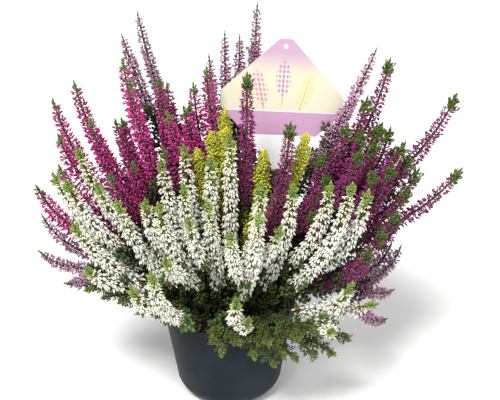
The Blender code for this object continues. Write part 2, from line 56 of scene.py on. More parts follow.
UP = np.array([0.0, 0.0, 1.0])
GOLDEN_TURN = math.pi * (3 - math.sqrt(5))
ANY_TURN = (0, 6.28)
Array = np.ndarray
Pair = tuple[float, float]
Tip = tuple[float, ...]
Triple = tuple[float, float, float]
Colour = Triple
# A mask of clouds: how fine, how many finer layers, and the noise at which it begins and is full.
Clouds = tuple[float, float, float, float]

# The largest share of a main shoot and of a side shoot that carries buds.
MAIN_BUDDED = 0.70
SIDE_BUDDED = 0.75
# How much of a main shoot's flowered length a side shoot has.
SIDE_FLOWERED = 0.85


def unit(vector: Array) -> Array:
    """Return the vector, or each row of an array of vectors, at length one."""
    return vector / np.maximum(np.linalg.norm(vector, axis=-1, keepdims=True), 1e-9)


class Kind(Enum):
    """The heathers that share the pot, by colour, and the green twigs under them."""

    LILAC = "lilac"
    PINK = "pink"
    PURPLE = "purple"
    WHITE = "white"
    YELLOW = "yellow"
    GREEN = "green"


@dataclass(frozen=True)
class Habit:
    """How one heather grows, in millimetres, as in the part's source.

    Attributes:
        reach: Radius at the buds' tips.
        flowered: Longest length that carries buds.
        tuft: Length of the leafy tip above the buds.
        lift: How far the tip turns up.
        rise: How steeply the stem leaves the soil.
    """

    reach: float
    flowered: float
    tuft: float
    lift: float
    rise: float


HABITS = {
    Kind.LILAC: Habit(5.4, 95, 10, 0.3, 1.2),
    Kind.PINK: Habit(7.6, 140, 12, 1.5, 0.8),
    Kind.PURPLE: Habit(6.6, 130, 17, 2.0, 0.8),
    Kind.WHITE: Habit(7.8, 125, 14, 1.2, 0.3),
    Kind.YELLOW: Habit(6.2, 70, 6, 1.2, 1.0),
    Kind.GREEN: Habit(5.2, 45, 5, -0.45, 1.2),
}

# Tips of each spray's spikes; the first is the main one and the others fork from it.
# A fourth number is that tip's own lift.
SPRAYS: dict[Kind, list[list[Tip]]] = {
    Kind.LILAC: [
        [(-77, 45, 348), (-87, 30, 335)],
        [(-4, 78, 317), (-16, 62, 303)],
        [(22, 85, 341), (13, 78, 314)],
        [(126, 45, 317), (112, 60, 262)],
        [(-162, -5, 180, 1.6), (-165, -15, 152, 1.0), (-141, -40, 133, 0.8)],
        [(151, -5, 152, 3.0), (145, 5, 146, 3.0), (145, -30, 121, 1.0), (138, -50, 104, 1.5)],
        [(-48, 85, 232), (-60, 103, 190), (-25, 118, 176)],
        [(46, 88, 236), (62, 100, 192), (32, 114, 198)],
        [(-88, 78, 205), (-98, 92, 160), (-122, 62, 148)],
        [(98, 90, 168), (122, 66, 150), (80, 104, 150)],
        [(0, 122, 158), (22, 124, 130), (-24, 122, 124)],
    ],
    Kind.PINK: [
        [(-146, 15, 283), (-141, -10, 262)],
        [(-126, 15, 299), (-115, 0, 273)],
        [(-102, 25, 253), (-91, 10, 266), (-78, -15, 239), (-103, -28, 231)],
        [(-85, 5, 323), (-78, -10, 313)],
        [(-54, 10, 307), (-47, 20, 293), (-53, -5, 251), (-32, 22, 275)],
        [(-25, 25, 306), (-30, 35, 286), (-38, 5, 280), (-51, -15, 285)],
        [(-141, -20, 238), (-159, -25, 223)],
        [(-118, 62, 214), (-142, 38, 190), (-92, 60, 238)],
    ],
    Kind.PURPLE: [
        [(13, -15, 320)],
        [(53, -20, 278), (85, -15, 227), (75, -30, 200)],
        [(135, 30, 311), (121, 25, 278), (109, 20, 256), (127, 22, 256)],
        [(191, 10, 289, 1.0), (153, -5, 251, 1.0), (151, -2, 240)],
        [(195, -15, 234, 0.7), (162, 0, 224, 1.2), (142, -35, 202, 1.5)],
        [(115, 10, 257), (80, -5, 241), (112, -15, 251)],
        [(136, 35, 246), (142, 30, 231), (123, 0, 251), (136, 12, 257)],
        [(142, -15, 234), (128, -20, 231), (154, -10, 212)],
        [(131, -40, 188), (121, -50, 176)],
        [(20, 98, 298), (4, 92, 255)],
        [(116, 70, 212), (146, 46, 182), (92, 62, 236)],
    ],
    Kind.WHITE: [
        [(-121, -25, 258), (-108, -38, 232)],
        [(-140, -45, 244), (-133, -55, 243)],
        [(-127, -60, 207), (-118, -66, 168)],
        [(-92, -45, 222), (-69, -50, 222)],
        [(-55, -75, 233), (-50, -90, 191)],
        [(-52, -35, 251), (-37, -45, 235)],
        [(-33, -20, 258), (-14, -30, 252)],
        [(2, -25, 271)],
        [(-18, -60, 225), (-30, -70, 219)],
        [(29, -50, 237, 2.2), (44, -65, 206, 2.0)],
        [(25, -80, 227, 2.2), (4, -85, 213, 2.0)],
        [(61, -45, 232, 4.0), (86, -50, 237, 3.5)],
        [(103, -60, 245, 2.6), (112, -55, 234, 3.0)],
        [(-62, -95, 180, 3.0), (-79, -85, 159, 2.0)],
        [(7, -88, 150, 2.0), (18, -88, 131, 3.5)],
        [(103, -85, 163, 2.0), (127, -70, 133, 0.2), (85, -100, 127, 2.0)],
    ],
    Kind.YELLOW: [
        [(-4, 0, 277), (-14, -8, 263), (-7, -15, 269), (-27, 0, 249)],
        [(25, -10, 247)],
        [(69, -5, 258)],
    ],
    Kind.GREEN: [
        [(-12, -80, 97), (-5, -84, 87), (11, -90, 104)],
        [(23, -86, 84), (41, -80, 73), (36, -95, 108)],
        [(49, -85, 85), (60, -76, 76), (61, -95, 113)],
        [(78, -72, 78), (93, -66, 76), (106, -60, 86), (78, -90, 115)],
        [(-79, -60, 117), (-94, -50, 121), (-54, -60, 104)],
        [(-111, -40, 120), (-125, -30, 120), (-135, -20, 118)],
        [(-70, 60, 110), (-90, 35, 115), (-40, 80, 105)],
        [(20, 88, 105), (60, 70, 110), (90, 40, 105)],
    ],
}


@dataclass
class Shoot:
    """One spike with its stem, in millimetres.

    Attributes:
        kind: Which heather it is.
        spray: Number of its spray.
        axis: Points from its foot or fork to its tip, one for each station.
        fork: Station of the main shoot at which it forks off.
        main: The shoot it forks from; a spray's main shoot has none.
        radii: Radius that it fills at each station.
    """

    kind: Kind
    spray: int
    axis: Array
    fork: int | None = None
    main: "Shoot | None" = None
    radii: Array = field(default_factory=lambda: np.zeros(0))

    @property
    def length(self) -> float:
        """Return the length along the axis."""
        return float(np.linalg.norm(np.diff(self.axis, axis=0), axis=1).sum())

    def flowers_from(self) -> float:
        """Return the distance along the axis at which the buds begin."""
        habit = HABITS[self.kind]
        if self.main is None:
            return self.length - min(habit.flowered, MAIN_BUDDED * self.length)
        return self.length - min(SIDE_FLOWERED * habit.flowered, SIDE_BUDDED * self.length)

    def frames(self, places: Array) -> tuple[Array, Array, Array, Array]:
        """Return points on the axis with their directions ahead, across and beside.

        Args:
            places: Distances along the axis, in rising order.
        """
        steps = np.linalg.norm(np.diff(self.axis, axis=0), axis=1)
        ways = np.concatenate([[0.0], np.cumsum(steps)])
        points = np.stack([np.interp(places, ways, self.axis[:, k]) for k in range(3)], axis=1)
        tangents = unit(np.gradient(self.axis, axis=0))
        ahead = unit(np.stack([np.interp(places, ways, tangents[:, k]) for k in range(3)], axis=1))
        across = np.empty_like(ahead)
        side = np.array([1.0, 0.0, 0.0])
        for row, direction in enumerate(ahead):
            side = unit(side - (side @ direction) * direction)
            across[row] = side
        return points, ahead, across, np.cross(ahead, across)


@dataclass
class Layout:
    """Where every shoot grows: the same rule as the solids', in millimetres."""

    # The pot and its soil.
    rim_radius: float = 60.0
    pot_height: float = 92.0
    wall: float = 1.8
    soil_top: float = 82.0
    soil_crown: float = 1.5
    # The stems' feet: height, ring and pitch, and how they make room for each other.
    foot_stub: float = 3.0
    foot_ring: float = 46.0
    foot_pitch: float = 9.6
    foot_rounds: int = 200
    foot_push: float = 0.25
    lean_rise: float = 40.0
    # The label's foot, lean and turn, its size, and the room kept round it.
    label_foot: Pair = (32.0, -26.0)
    label_lean: float = math.radians(19.5)
    label_turn: float = math.radians(4.2)
    label_stake: float = 138.0
    label_half: float = 59.6
    card_half: float = 53.0
    top_cut: float = 5.4
    stake_half: float = 4.5
    stake_gap: float = 2.5
    card_gap: float = 2.5
    stake_clear: float = 4.0
    stake_zone: float = 5.0
    # The shoots' curves.
    stations: int = 24
    upright: float = 0.24
    lowering: float = 0.25
    # What leaves and buds fill along a shoot.
    stem_radius: float = 1.3
    bare_foot: float = 8.0
    leafy_end: float = 4.0
    thin_tip: Pair = (0.55, 30.0)
    leaf_foot: float = 0.6
    leaf_reach: float = 5.0
    leaf_spread: float = 45.0
    # Where side shoots fork off, and how they leave.
    fork_share: float = 0.38
    low_fork_share: float = 0.30
    fork_step: float = 0.06
    fork_follow: float = 0.6
    fork_spread: float = 0.35
    # The room kept while the shoots bend clear, and how they are pushed.
    shoot_gap: float = 0.5
    pot_gap: float = 1.5
    rim_zone: float = 10.0
    ground_gap: float = 12.0
    look_ahead: float = 12.0
    bend_rounds: int = 160
    pair_rounds: int = 10
    pair_push: float = 0.7
    wall_push: float = 0.5
    bud_room: float = 1.5

    def label_axes(self) -> tuple[Array, Array, Array]:
        """Return the directions across the card, up along it, and out of its front face."""
        along = np.array([math.sin(self.label_turn),
                          math.cos(self.label_turn) * math.sin(self.label_lean),
                          math.cos(self.label_turn) * math.cos(self.label_lean)])
        front = np.array([0.0, -math.cos(self.label_lean), math.sin(self.label_lean)])
        across = np.cross(along, front)
        return unit(across), along, unit(np.cross(across, along))

    def curve_through(self, start: Array, leave: Array, lift: float, end: Array) -> Array:
        """Return a smooth curve between two points that leaves in a direction and ends lifted."""
        reach = np.linalg.norm(end - start) / 3
        near = start + reach * leave
        arrive = unit(unit(end - start) + lift * UP)
        far = end - reach * (1 + self.upright * max(lift - 0.5, 0)) * arrive
        t = np.linspace(0.0, 1.0, self.stations)[:, None]
        return (1 - t) ** 3 * start + 3 * t * (1 - t) ** 2 * near + 3 * t * t * (1 - t) * far + t ** 3 * end

    def place_feet(self, sprays: list[tuple[Kind, list[Tip]]]) -> Array:
        """Return each spray's foot: one that leans more stands nearer the rim."""
        means = np.array([np.mean([tip[:3] for tip in tips], axis=0) for _, tips in sprays])
        lean = np.hypot(means[:, 0], means[:, 1]) / (means[:, 2] - self.soil_top + self.lean_rise)
        rank = np.argsort(np.argsort(lean))
        radius = self.foot_ring * np.sqrt((rank + 0.5) / len(means))
        feet = means[:, :2] / np.linalg.norm(means[:, :2], axis=1)[:, None] * radius[:, None]
        feet = np.vstack([feet, self.label_foot])
        stake = np.array([*self.label_foot, self.soil_top])
        in_front = np.append((means - stake) @ self.label_axes()[2] > 0, False)
        for _ in range(self.foot_rounds):
            apart = feet[:, None] - feet[None]
            distance = np.linalg.norm(apart, axis=2) + 1000 * np.eye(len(feet))
            short = np.clip(self.foot_pitch - distance, 0, None)
            feet = feet + self.foot_push * (short[..., None] * apart / distance[..., None]).sum(axis=1)
            beside = feet - self.label_foot
            near = np.abs(beside[:, 0]) < self.stake_half + self.stake_clear
            crosses = (in_front == (beside[:, 1] > 0)) & near
            feet[:, 0] += self.wall_push * np.sign(beside[:, 0]) * crosses
            feet *= np.minimum(1, self.foot_ring / np.linalg.norm(feet, axis=1))[:, None]
            feet[-1] = self.label_foot
        return feet[:-1]

    def grow(self) -> list[Shoot]:
        """Return every shoot, bent clear of the others, the pot and the label."""
        sprays = [(kind, tips) for kind, rows in SPRAYS.items() for tips in rows]
        shoots: list[Shoot] = []
        for number, ((kind, tips), foot) in enumerate(zip(sprays, self.place_feet(sprays))):
            habit = HABITS[kind]
            lifts = [tip[3] if len(tip) > 3 else habit.lift for tip in tips]
            start = np.array([*foot, self.soil_top + self.foot_stub])
            tip = np.array(tips[0][:3], float)
            rise = habit.rise - self.lowering * max(lifts[0] - 1, 0)
            leave = unit(unit(tip - start) + rise * UP)
            main = Shoot(kind, number, self.curve_through(start, leave, lifts[0], tip))
            shoots.append(main)
            for turn, place in enumerate(tips[1:]):
                share = self.low_fork_share if habit.lift < 0 else self.fork_share
                fork = round(self.stations * (share + self.fork_step * (turn % 2)))
                start = main.axis[fork]
                tip = np.array(place[:3], float)
                leave = unit(unit(tip - start) + self.fork_follow * unit(main.axis[fork + 1] - start))
                axis = self.curve_through(start, leave, lifts[turn + 1], tip)
                shoots.append(Shoot(kind, number, axis, fork, main))
        for shoot in shoots:
            shoot.radii = self.envelope(shoot)
        self.bend_clear(shoots)
        return shoots

    def leaf_radius(self, along: Array) -> Array:
        """Return the leafy stem's radius, which is slimmer near the foot or fork."""
        grown = np.minimum(1, along / self.leaf_spread)
        return self.leaf_reach * (self.leaf_foot + (1 - self.leaf_foot) * grown)

    def envelope(self, shoot: Shoot) -> Array:
        """Return the radius that leaves and buds fill at each station."""
        length = shoot.length
        along = np.linspace(0.0, 1.0, self.stations) * length
        leafy = along < shoot.flowers_from() - self.leafy_end
        radii = np.where(leafy, self.leaf_radius(along), HABITS[shoot.kind].reach)
        least, over = self.thin_tip
        radii = radii * np.clip(least + (1 - least) * (length - along) / over, 0, 1)
        return np.where(along < self.bare_foot, self.stem_radius + 0.3, radii)

    @staticmethod
    def nearest_shares(a: Array, b: Array, c: Array, d: Array) -> tuple[Array, Array]:
        """Return the shares along the segments a-b and c-d at which they come nearest."""
        ab, cd, ca = b - a, d - c, a - c
        aa = (ab * ab).sum(1) + 1e-9
        cc = (cd * cd).sum(1) + 1e-9
        ac = (ab * cd).sum(1)
        first = (ab * ca).sum(1)
        second = (cd * ca).sum(1)
        share = np.clip((ac * second - first * cc) / (aa * cc - ac * ac + 1e-9), 0, 1)
        other = np.clip((ac * share + second) / cc, 0, 1)
        return np.clip((ac * other - first) / aa, 0, 1), other

    def near_pairs(self, points: Array, spray: Array, way: Array, radii: Array) -> tuple:
        """Return pairs of axis segments that may come to touch, and the distance each pair keeps."""
        count, stations = points.shape[:2]
        middle = (0.5 * (points[:, 1:] + points[:, :-1])).reshape(-1, 3)
        owner = np.repeat(np.arange(count), stations - 1)
        reach = np.maximum(radii[:, 1:], radii[:, :-1]).reshape(-1)
        way = way.reshape(-1)
        square = (middle * middle).sum(1)
        distance = np.sqrt(np.maximum(square[:, None] + square[None] - 2 * middle @ middle.T, 0))
        keep = reach[:, None] + reach[None] + self.shoot_gap
        same = spray[owner][:, None] == spray[owner][None]
        fork_keep = self.fork_spread * np.minimum(way[:, None], way[None])
        keep = np.where(same, np.minimum(keep, fork_keep), keep)
        close = (distance < keep + self.look_ahead) & (keep > 0) & (owner[:, None] < owner[None])
        first, second = np.nonzero(close)
        start = owner * stations + np.tile(np.arange(stations - 1), count)
        return start[first], start[second], keep[first, second]

    def push_off_pot(self, points: Array, radii: Array) -> Array:
        """Return the shift that keeps each station over the rim or outside the wall."""
        shift = np.zeros_like(points)
        out = np.hypot(points[..., 0], points[..., 1])
        zone = self.rim_radius - self.rim_zone
        over_rim = (out > zone) & (out < self.rim_radius + radii + 1)
        rim_lack = np.clip(self.pot_height + self.pot_gap + radii - points[..., 2], 0, None)
        shift[..., 2] += self.wall_push * rim_lack * over_rim
        beside = (points[..., 2] < self.pot_height - self.wall) & (out > zone)
        wall_lack = np.clip(self.rim_radius + self.pot_gap + radii - out, 0, None)
        away = self.wall_push * wall_lack * beside / np.maximum(out, 1)
        shift[..., 0] += away * points[..., 0]
        shift[..., 1] += away * points[..., 1]
        floor = self.soil_top + self.soil_crown + self.pot_gap + radii
        over_soil = np.clip(floor - points[..., 2], 0, None) * (out <= zone)
        over_soil[:, :3] = 0
        shift[..., 2] += self.wall_push * over_soil
        shift[..., 2] += np.clip(self.ground_gap + radii - points[..., 2], 0, None)
        return shift

    def push_off_label(self, points: Array, radii: Array, sides: Array) -> Array:
        """Return the shift that keeps each station off the card's faces and round the stake."""
        across, along, front = self.label_axes()
        rel = points - np.array([*self.label_foot, self.soil_top])
        a, w, n = rel @ across, rel @ along, rel @ front
        middle = self.label_stake + self.label_half
        card = np.abs(a) + np.abs(w - middle) < self.label_half + self.bud_room * radii
        gap = np.clip(radii + self.card_gap - n * sides[:, None], 0, self.look_ahead) * card
        shift = self.wall_push * (gap * sides[:, None])[..., None] * front
        beside = (w > -self.stake_zone) & (w < self.label_stake + self.stake_zone)
        radial = np.hypot(a, n) + 1e-6
        short = np.clip(self.stake_half + self.stake_gap + radii - radial, 0, None) * beside
        away = a[..., None] * across + n[..., None] * front
        return shift + self.wall_push * (short / radial)[..., None] * away

    def bend_clear(self, shoots: list[Shoot]) -> None:
        """Bend the shoots smoothly until none runs through another, the pot or the label."""
        still = np.array([shoot.axis for shoot in shoots])
        radii = np.array([shoot.radii for shoot in shoots])
        spray = np.array([shoot.spray for shoot in shoots])
        rows = {id(shoot): row for row, shoot in enumerate(shoots)}
        lengths = np.array([shoot.length for shoot in shoots])
        share = (np.arange(self.stations - 1) + 0.5) / (self.stations - 1)
        from_fork = lengths[:, None] * share[None]
        from_fork[[shoot.main is None for shoot in shoots]] = np.inf
        foot = np.array([*self.label_foot, self.soil_top])
        sides = np.where((still[:, -1] - foot) @ self.label_axes()[2] > 0, 1.0, -1.0)
        bend = np.zeros_like(still)
        for turn in range(self.bend_rounds):
            if turn % self.pair_rounds == 0:
                first, second, keep = self.near_pairs(still + bend, spray, from_fork, radii)
            points = still + bend
            flat = points.reshape(-1, 3)
            s, t = self.nearest_shares(flat[first], flat[first + 1], flat[second], flat[second + 1])
            near = flat[first] + s[:, None] * (flat[first + 1] - flat[first])
            other = flat[second] + t[:, None] * (flat[second + 1] - flat[second])
            apart = near - other
            distance = np.linalg.norm(apart, axis=1) + 1e-6
            over = np.clip(keep - distance, 0, None)
            hit = over > 0
            push = np.zeros_like(flat)
            weight = np.zeros(len(flat))
            for at, part, sign in ((first, 1 - s, 1), (first + 1, s, 1),
                                   (second, 1 - t, -1), (second + 1, t, -1)):
                step = sign * (part * over / distance)[:, None] * apart
                np.add.at(push, at[hit], step[hit])
                np.add.at(weight, at[hit], part[hit])
            push /= np.maximum(weight, 1)[:, None]
            bend += self.pair_push * push.reshape(points.shape) + self.push_off_pot(points, radii)
            bend += self.push_off_label(points, radii, sides)
            smooth = bend.copy()
            smooth[:, 1:-1] = 0.25 * bend[:, :-2] + 0.5 * bend[:, 1:-1] + 0.25 * bend[:, 2:]
            smooth[:, -1] = 0.5 * (bend[:, -1] + bend[:, -2])
            bend = smooth
            for row, shoot in enumerate(shoots):
                bend[row, 0] = 0 if shoot.main is None else bend[rows[id(shoot.main)], shoot.fork]
        for shoot, axis in zip(shoots, still + bend):
            shoot.axis = axis


@dataclass
class Shape:
    """A small form modelled once, at the origin and growing along +Z, in millimetres.

    Attributes:
        points: Its vertices, one a row.
        corners: The vertices of every face, one face after another.
        sizes: How many corners each face has.
        tips: How near each vertex is to the form's free end, from 0 to 1.
    """

    points: Array
    corners: Array
    sizes: Array
    tips: Array

    @classmethod
    def taken_from(cls, body: bpy.types.Object) -> "Shape":
        """Return the shape of a modelled object, and remove the object."""
        mesh = body.data
        points = np.empty(len(mesh.vertices) * 3)
        mesh.vertices.foreach_get("co", points)
        corners = np.empty(len(mesh.loops), int)
        mesh.loops.foreach_get("vertex_index", corners)
        sizes = np.empty(len(mesh.polygons), int)
        mesh.polygons.foreach_get("loop_total", sizes)
        bpy.data.objects.remove(body)
        bpy.data.meshes.remove(mesh)
        points = points.reshape(-1, 3)
        low, high = points[:, 2].min(), points[:, 2].max()
        return cls(points, corners, sizes, (points[:, 2] - low) / max(high - low, 1e-9))

    def copies(self, places: Array, turns: Array, scales: Array) -> Array:
        """Return the vertices of every copy, one copy after another.

        Args:
            places: Where the copies stand, one a row.
            turns: Their rotation matrices.
            scales: Their sizes along X, Y and Z, one a row.
        """
        grown = self.points[None] * scales[:, None]
        return (np.einsum("nij,nvj->nvi", turns, grown) + places[:, None]).reshape(-1, 3)


def turned_to(ways: Array, hints: Array) -> Array:
    """Return rotations that take +Z to each way and +Y as near as can be to each hint."""
    ahead = unit(ways)
    across = unit(np.cross(hints, ahead))
    return np.stack([across, np.cross(ahead, across), ahead], axis=2)


def blend(pair: Pair, share: Array) -> Array:
    """Return values that run from the first of a pair to the second."""
    return pair[0] + (pair[1] - pair[0]) * share


def leaning(degrees: Array, out: Array, ahead: Array) -> Array:
    """Return ways that lean out by the degrees from the way ahead, one a row."""
    angle = np.radians(degrees)[:, None]
    return np.sin(angle) * out + np.cos(angle) * ahead


def sized(wide: Array, long: Array) -> Array:
    """Return the scales of round forms of the widths and lengths given, one a row."""
    return np.stack([wide, wide, long], axis=1)


class Bench:
    """Modelling moves made with Blender's operators, each begun with nothing selected."""

    # Points nearer together than this, in metres, become one.
    weld = 0.00002

    @staticmethod
    def clear() -> None:
        """Leave nothing selected."""
        bpy.ops.object.select_all(action="DESELECT")

    @staticmethod
    def hold(body: bpy.types.Object) -> None:
        """Select one object alone and make it the active one."""
        Bench.clear()
        body.select_set(True)
        bpy.context.view_layer.objects.active = body

    @staticmethod
    def place(name: str, data: bpy.types.ID) -> bpy.types.Object:
        """Return a new object in the scene that shows the data."""
        body = bpy.data.objects.new(name, data)
        bpy.context.scene.collection.objects.link(body)
        return body

    @staticmethod
    def spindle(sides: int, low: Pair, high: Pair, flat: float = 1.0) -> Shape:
        """Return a form one unit long and pointed at both ends.

        A cone's two end faces are extruded, and each is drawn together into a point.

        Args:
            sides: Corners round it.
            low: Height and radius of its lower ring.
            high: Height and radius of its upper ring; with no radius the cone itself ends there.
            flat: Thickness over width.
        """
        Bench.clear()
        bpy.ops.mesh.primitive_cone_add(
            vertices=sides, radius1=low[1], radius2=high[1], depth=high[0] - low[0])
        body = bpy.context.object
        bpy.context.tool_settings.mesh_select_mode = (False, False, True)
        bpy.ops.object.mode_set(mode="EDIT")
        bpy.ops.mesh.select_all(action="SELECT")
        bpy.ops.transform.translate(value=(0, 0, (low[0] + high[0]) / 2))
        bpy.ops.transform.resize(value=(1, flat, 1), center_override=(0, 0, 0))
        for way, rise in ((-1, -low[0]), (1, 1 - high[0])):
            bpy.ops.mesh.select_all(action="DESELECT")
            bpy.ops.object.mode_set(mode="OBJECT")
            ends = [face for face in body.data.polygons if face.normal.z * way > 0.95]
            for face in ends:
                face.select = True
            bpy.ops.object.mode_set(mode="EDIT")
            if ends:
                bpy.ops.mesh.extrude_region_move(TRANSFORM_OT_translate={"value": (0, 0, rise)})
                bpy.ops.mesh.merge(type="CENTER")
        bpy.ops.mesh.select_all(action="SELECT")
        bpy.ops.mesh.normals_make_consistent(inside=False)
        bpy.ops.object.mode_set(mode="OBJECT")
        return Shape.taken_from(body)

    @staticmethod
    def spun(name: str, profile: list[Pair], steps: int) -> bpy.types.Object:
        """Return a body turned about the Z axis.

        Args:
            name: The body's name.
            profile: Distances from the axis and heights, in millimetres.
            steps: Number of steps round it.
        """
        Bench.clear()
        bpy.ops.mesh.primitive_circle_add(vertices=3, radius=MM)
        body = bpy.context.object
        body.name = body.data.name = name
        body.data.clear_geometry()
        edges = [(k, k + 1) for k in range(len(profile) - 1)]
        body.data.from_pydata([(r * MM, 0, z * MM) for r, z in profile], edges, [])
        bpy.ops.object.mode_set(mode="EDIT")
        bpy.ops.mesh.select_all(action="SELECT")
        bpy.ops.mesh.spin(steps=steps, angle=2 * math.pi, center=(0, 0, 0), axis=(0, 0, 1))
        bpy.ops.mesh.select_all(action="SELECT")
        bpy.ops.mesh.remove_doubles(threshold=Bench.weld)
        bpy.ops.mesh.normals_make_consistent(inside=False)
        bpy.ops.object.mode_set(mode="OBJECT")
        return body

    @staticmethod
    def add_line(curve: bpy.types.Curve, points: Array) -> bpy.types.Spline:
        """Return a line of straight runs through the points, added to the curve."""
        line = curve.splines.new("POLY")
        line.points.add(len(points) - 1)
        line.points.foreach_set("co", np.column_stack([points, np.ones(len(points))]).reshape(-1))
        return line

    @staticmethod
    def meshed(name: str, curve: bpy.types.Curve) -> bpy.types.Object:
        """Return the curve as an object with a mesh."""
        Bench.hold(Bench.place(name, curve))
        bpy.ops.object.convert(target="MESH")
        return bpy.context.object


class Patterns:
    """The forms that repeat all over the plant, each one unit long where it is scaled later."""

    @staticmethod
    def bud() -> Shape:
        """Return a closed bud: a drop, widest below its middle."""
        return Bench.spindle(4, (0.22, 0.20), (0.68, 0.16))

    @staticmethod
    def small_bud() -> Shape:
        """Return a smaller heather's bud, of ten faces."""
        return Bench.spindle(5, (0.40, 0.21), (1.0, 0.0))

    @staticmethod
    def scale_leaf() -> Shape:
        """Return one short scale leaf of eight faces, flattened."""
        return Bench.spindle(4, (0.46, 0.33), (1.0, 0.0), flat=0.65)

    @staticmethod
    def crown_leaf() -> Shape:
        """Return one plump leaf of a crown, thickest below its middle."""
        return Bench.spindle(4, (0.28, 0.25), (0.70, 0.22), flat=0.6)

    @staticmethod
    def crumb() -> Shape:
        """Return one angular crumb of peat."""
        Bench.clear()
        bpy.ops.mesh.primitive_ico_sphere_add(subdivisions=1, radius=1)
        bpy.ops.object.mode_set(mode="EDIT")
        bpy.ops.mesh.select_all(action="SELECT")
        bpy.ops.transform.vertex_random(offset=0.25, seed=3)
        bpy.ops.object.mode_set(mode="OBJECT")
        return Shape.taken_from(bpy.context.object)

    @staticmethod
    def twig(leaf: Shape, nodes: int, step: float, size: float, lean: Pair, bend: float) -> Shape:
        """Return a leafy twig: crossed pairs of one leaf up a bent axis.

        Args:
            leaf: The leaf, one unit long.
            nodes: Number of pairs.
            step: Rise from pair to pair.
            size: Length of the longest leaf.
            lean: Degrees that the leaves lean out, at the foot and at the tip.
            bend: How far the axis leans off by its tip.
        """
        share = np.repeat((np.arange(nodes) + 0.5) / nodes, 2)
        turn = np.repeat(np.arange(nodes), 2) * math.pi / 2 + np.tile([0, math.pi], nodes)
        turn = turn + 0.25 * np.sin(7.0 * np.arange(len(turn)))
        out = np.stack([np.cos(turn), np.sin(turn), 0 * turn], axis=1)
        axis = np.stack([bend * share ** 2, 0 * share, nodes * step * share], axis=1)
        ways = leaning(blend(lean, share), out, UP)
        long = size * (0.62 + 0.38 * np.sin(math.pi * np.clip(share + 0.18, 0, 1)))[:, None]
        points = leaf.copies(axis + 0.12 * size * out, turned_to(ways, out), np.repeat(long, 3, axis=1))
        count = len(share)
        offsets = np.repeat(np.arange(count) * len(leaf.points), len(leaf.corners))
        tips = np.tile(leaf.tips, count) * 0.8 + 0.2 * np.repeat(share, len(leaf.points))
        return Shape(points, np.tile(leaf.corners, count) + offsets, np.tile(leaf.sizes, count), tips)


@dataclass
class Swarm:
    """Gathers copies of shapes into one mesh, with a tone attribute that the finishes read.

    The tone's red runs from each form's base to its tip, its green is one random number for
    each copy, its blue runs up the spike, and its alpha is the whole spray's shade.

    Attributes:
        seed: Start of its random numbers.
        shade: How light the whole spray is.
        points: Vertices of all copies, one array for each call of add.
        corners: Their faces' vertices.
        sizes: How many corners each face has.
        tones: Their tones, one row for each vertex.
        slots: Each face's finish.
        count: Number of vertices so far.
    """

    seed: int
    shade: float = 1.0
    points: list[Array] = field(default_factory=list)
    corners: list[Array] = field(default_factory=list)
    sizes: list[Array] = field(default_factory=list)
    tones: list[Array] = field(default_factory=list)
    slots: list[Array] = field(default_factory=list)
    count: int = 0

    def __post_init__(self) -> None:
        """Start this swarm's own row of random numbers."""
        self.chance = np.random.default_rng(self.seed)

    def add(self, shape: Shape, places: Array, turns: Array, scales: Array, up: Array,
            slot: int = 0) -> None:
        """Add copies of a shape.

        Args:
            shape: The shape to copy.
            places: Where the copies stand, one a row.
            turns: Their rotation matrices.
            scales: Their sizes along X, Y and Z, one a row.
            up: How far up the spike each stands, from 0 to 1.
            slot: Which of the piece's finishes they take.
        """
        number = len(places)
        if not number:
            return
        own = len(shape.points)
        tone = np.ones((number, own, 4))
        tone[..., 0] = shape.tips[None]
        tone[..., 1] = self.chance.uniform(0, 1, number)[:, None]
        tone[..., 2] = up[:, None]
        tone[..., 3] = self.shade
        shift = np.repeat(np.arange(number) * own, len(shape.corners))
        self.points.append(shape.copies(places, turns, scales))
        self.corners.append(np.tile(shape.corners, number) + shift + self.count)
        self.sizes.append(np.tile(shape.sizes, number))
        self.tones.append(tone.reshape(-1, 4))
        self.slots.append(np.full(number * len(shape.sizes), slot))
        self.count += number * own

    def piece(self, name: str, finishes: list[bpy.types.Material]) -> bpy.types.Object:
        """Return the gathered mesh as one shaded object at the origin, in metres."""
        points = np.concatenate(self.points) * MM
        corners, sizes = np.concatenate(self.corners), np.concatenate(self.sizes)
        mesh = bpy.data.meshes.new(name)
        mesh.vertices.add(len(points))
        mesh.vertices.foreach_set("co", points.reshape(-1))
        mesh.loops.add(len(corners))
        mesh.loops.foreach_set("vertex_index", corners)
        mesh.polygons.add(len(sizes))
        mesh.polygons.foreach_set("loop_start", np.concatenate([[0], np.cumsum(sizes)[:-1]]))
        mesh.polygons.foreach_set("material_index", np.concatenate(self.slots))
        mesh.update(calc_edges=True)
        tone = mesh.attributes.new("tone", "FLOAT_COLOR", "POINT")
        tone.data.foreach_set("color", np.concatenate(self.tones).reshape(-1))
        mesh.shade_smooth()
        for finish in finishes:
            mesh.materials.append(finish)
        return Bench.place(name, mesh)


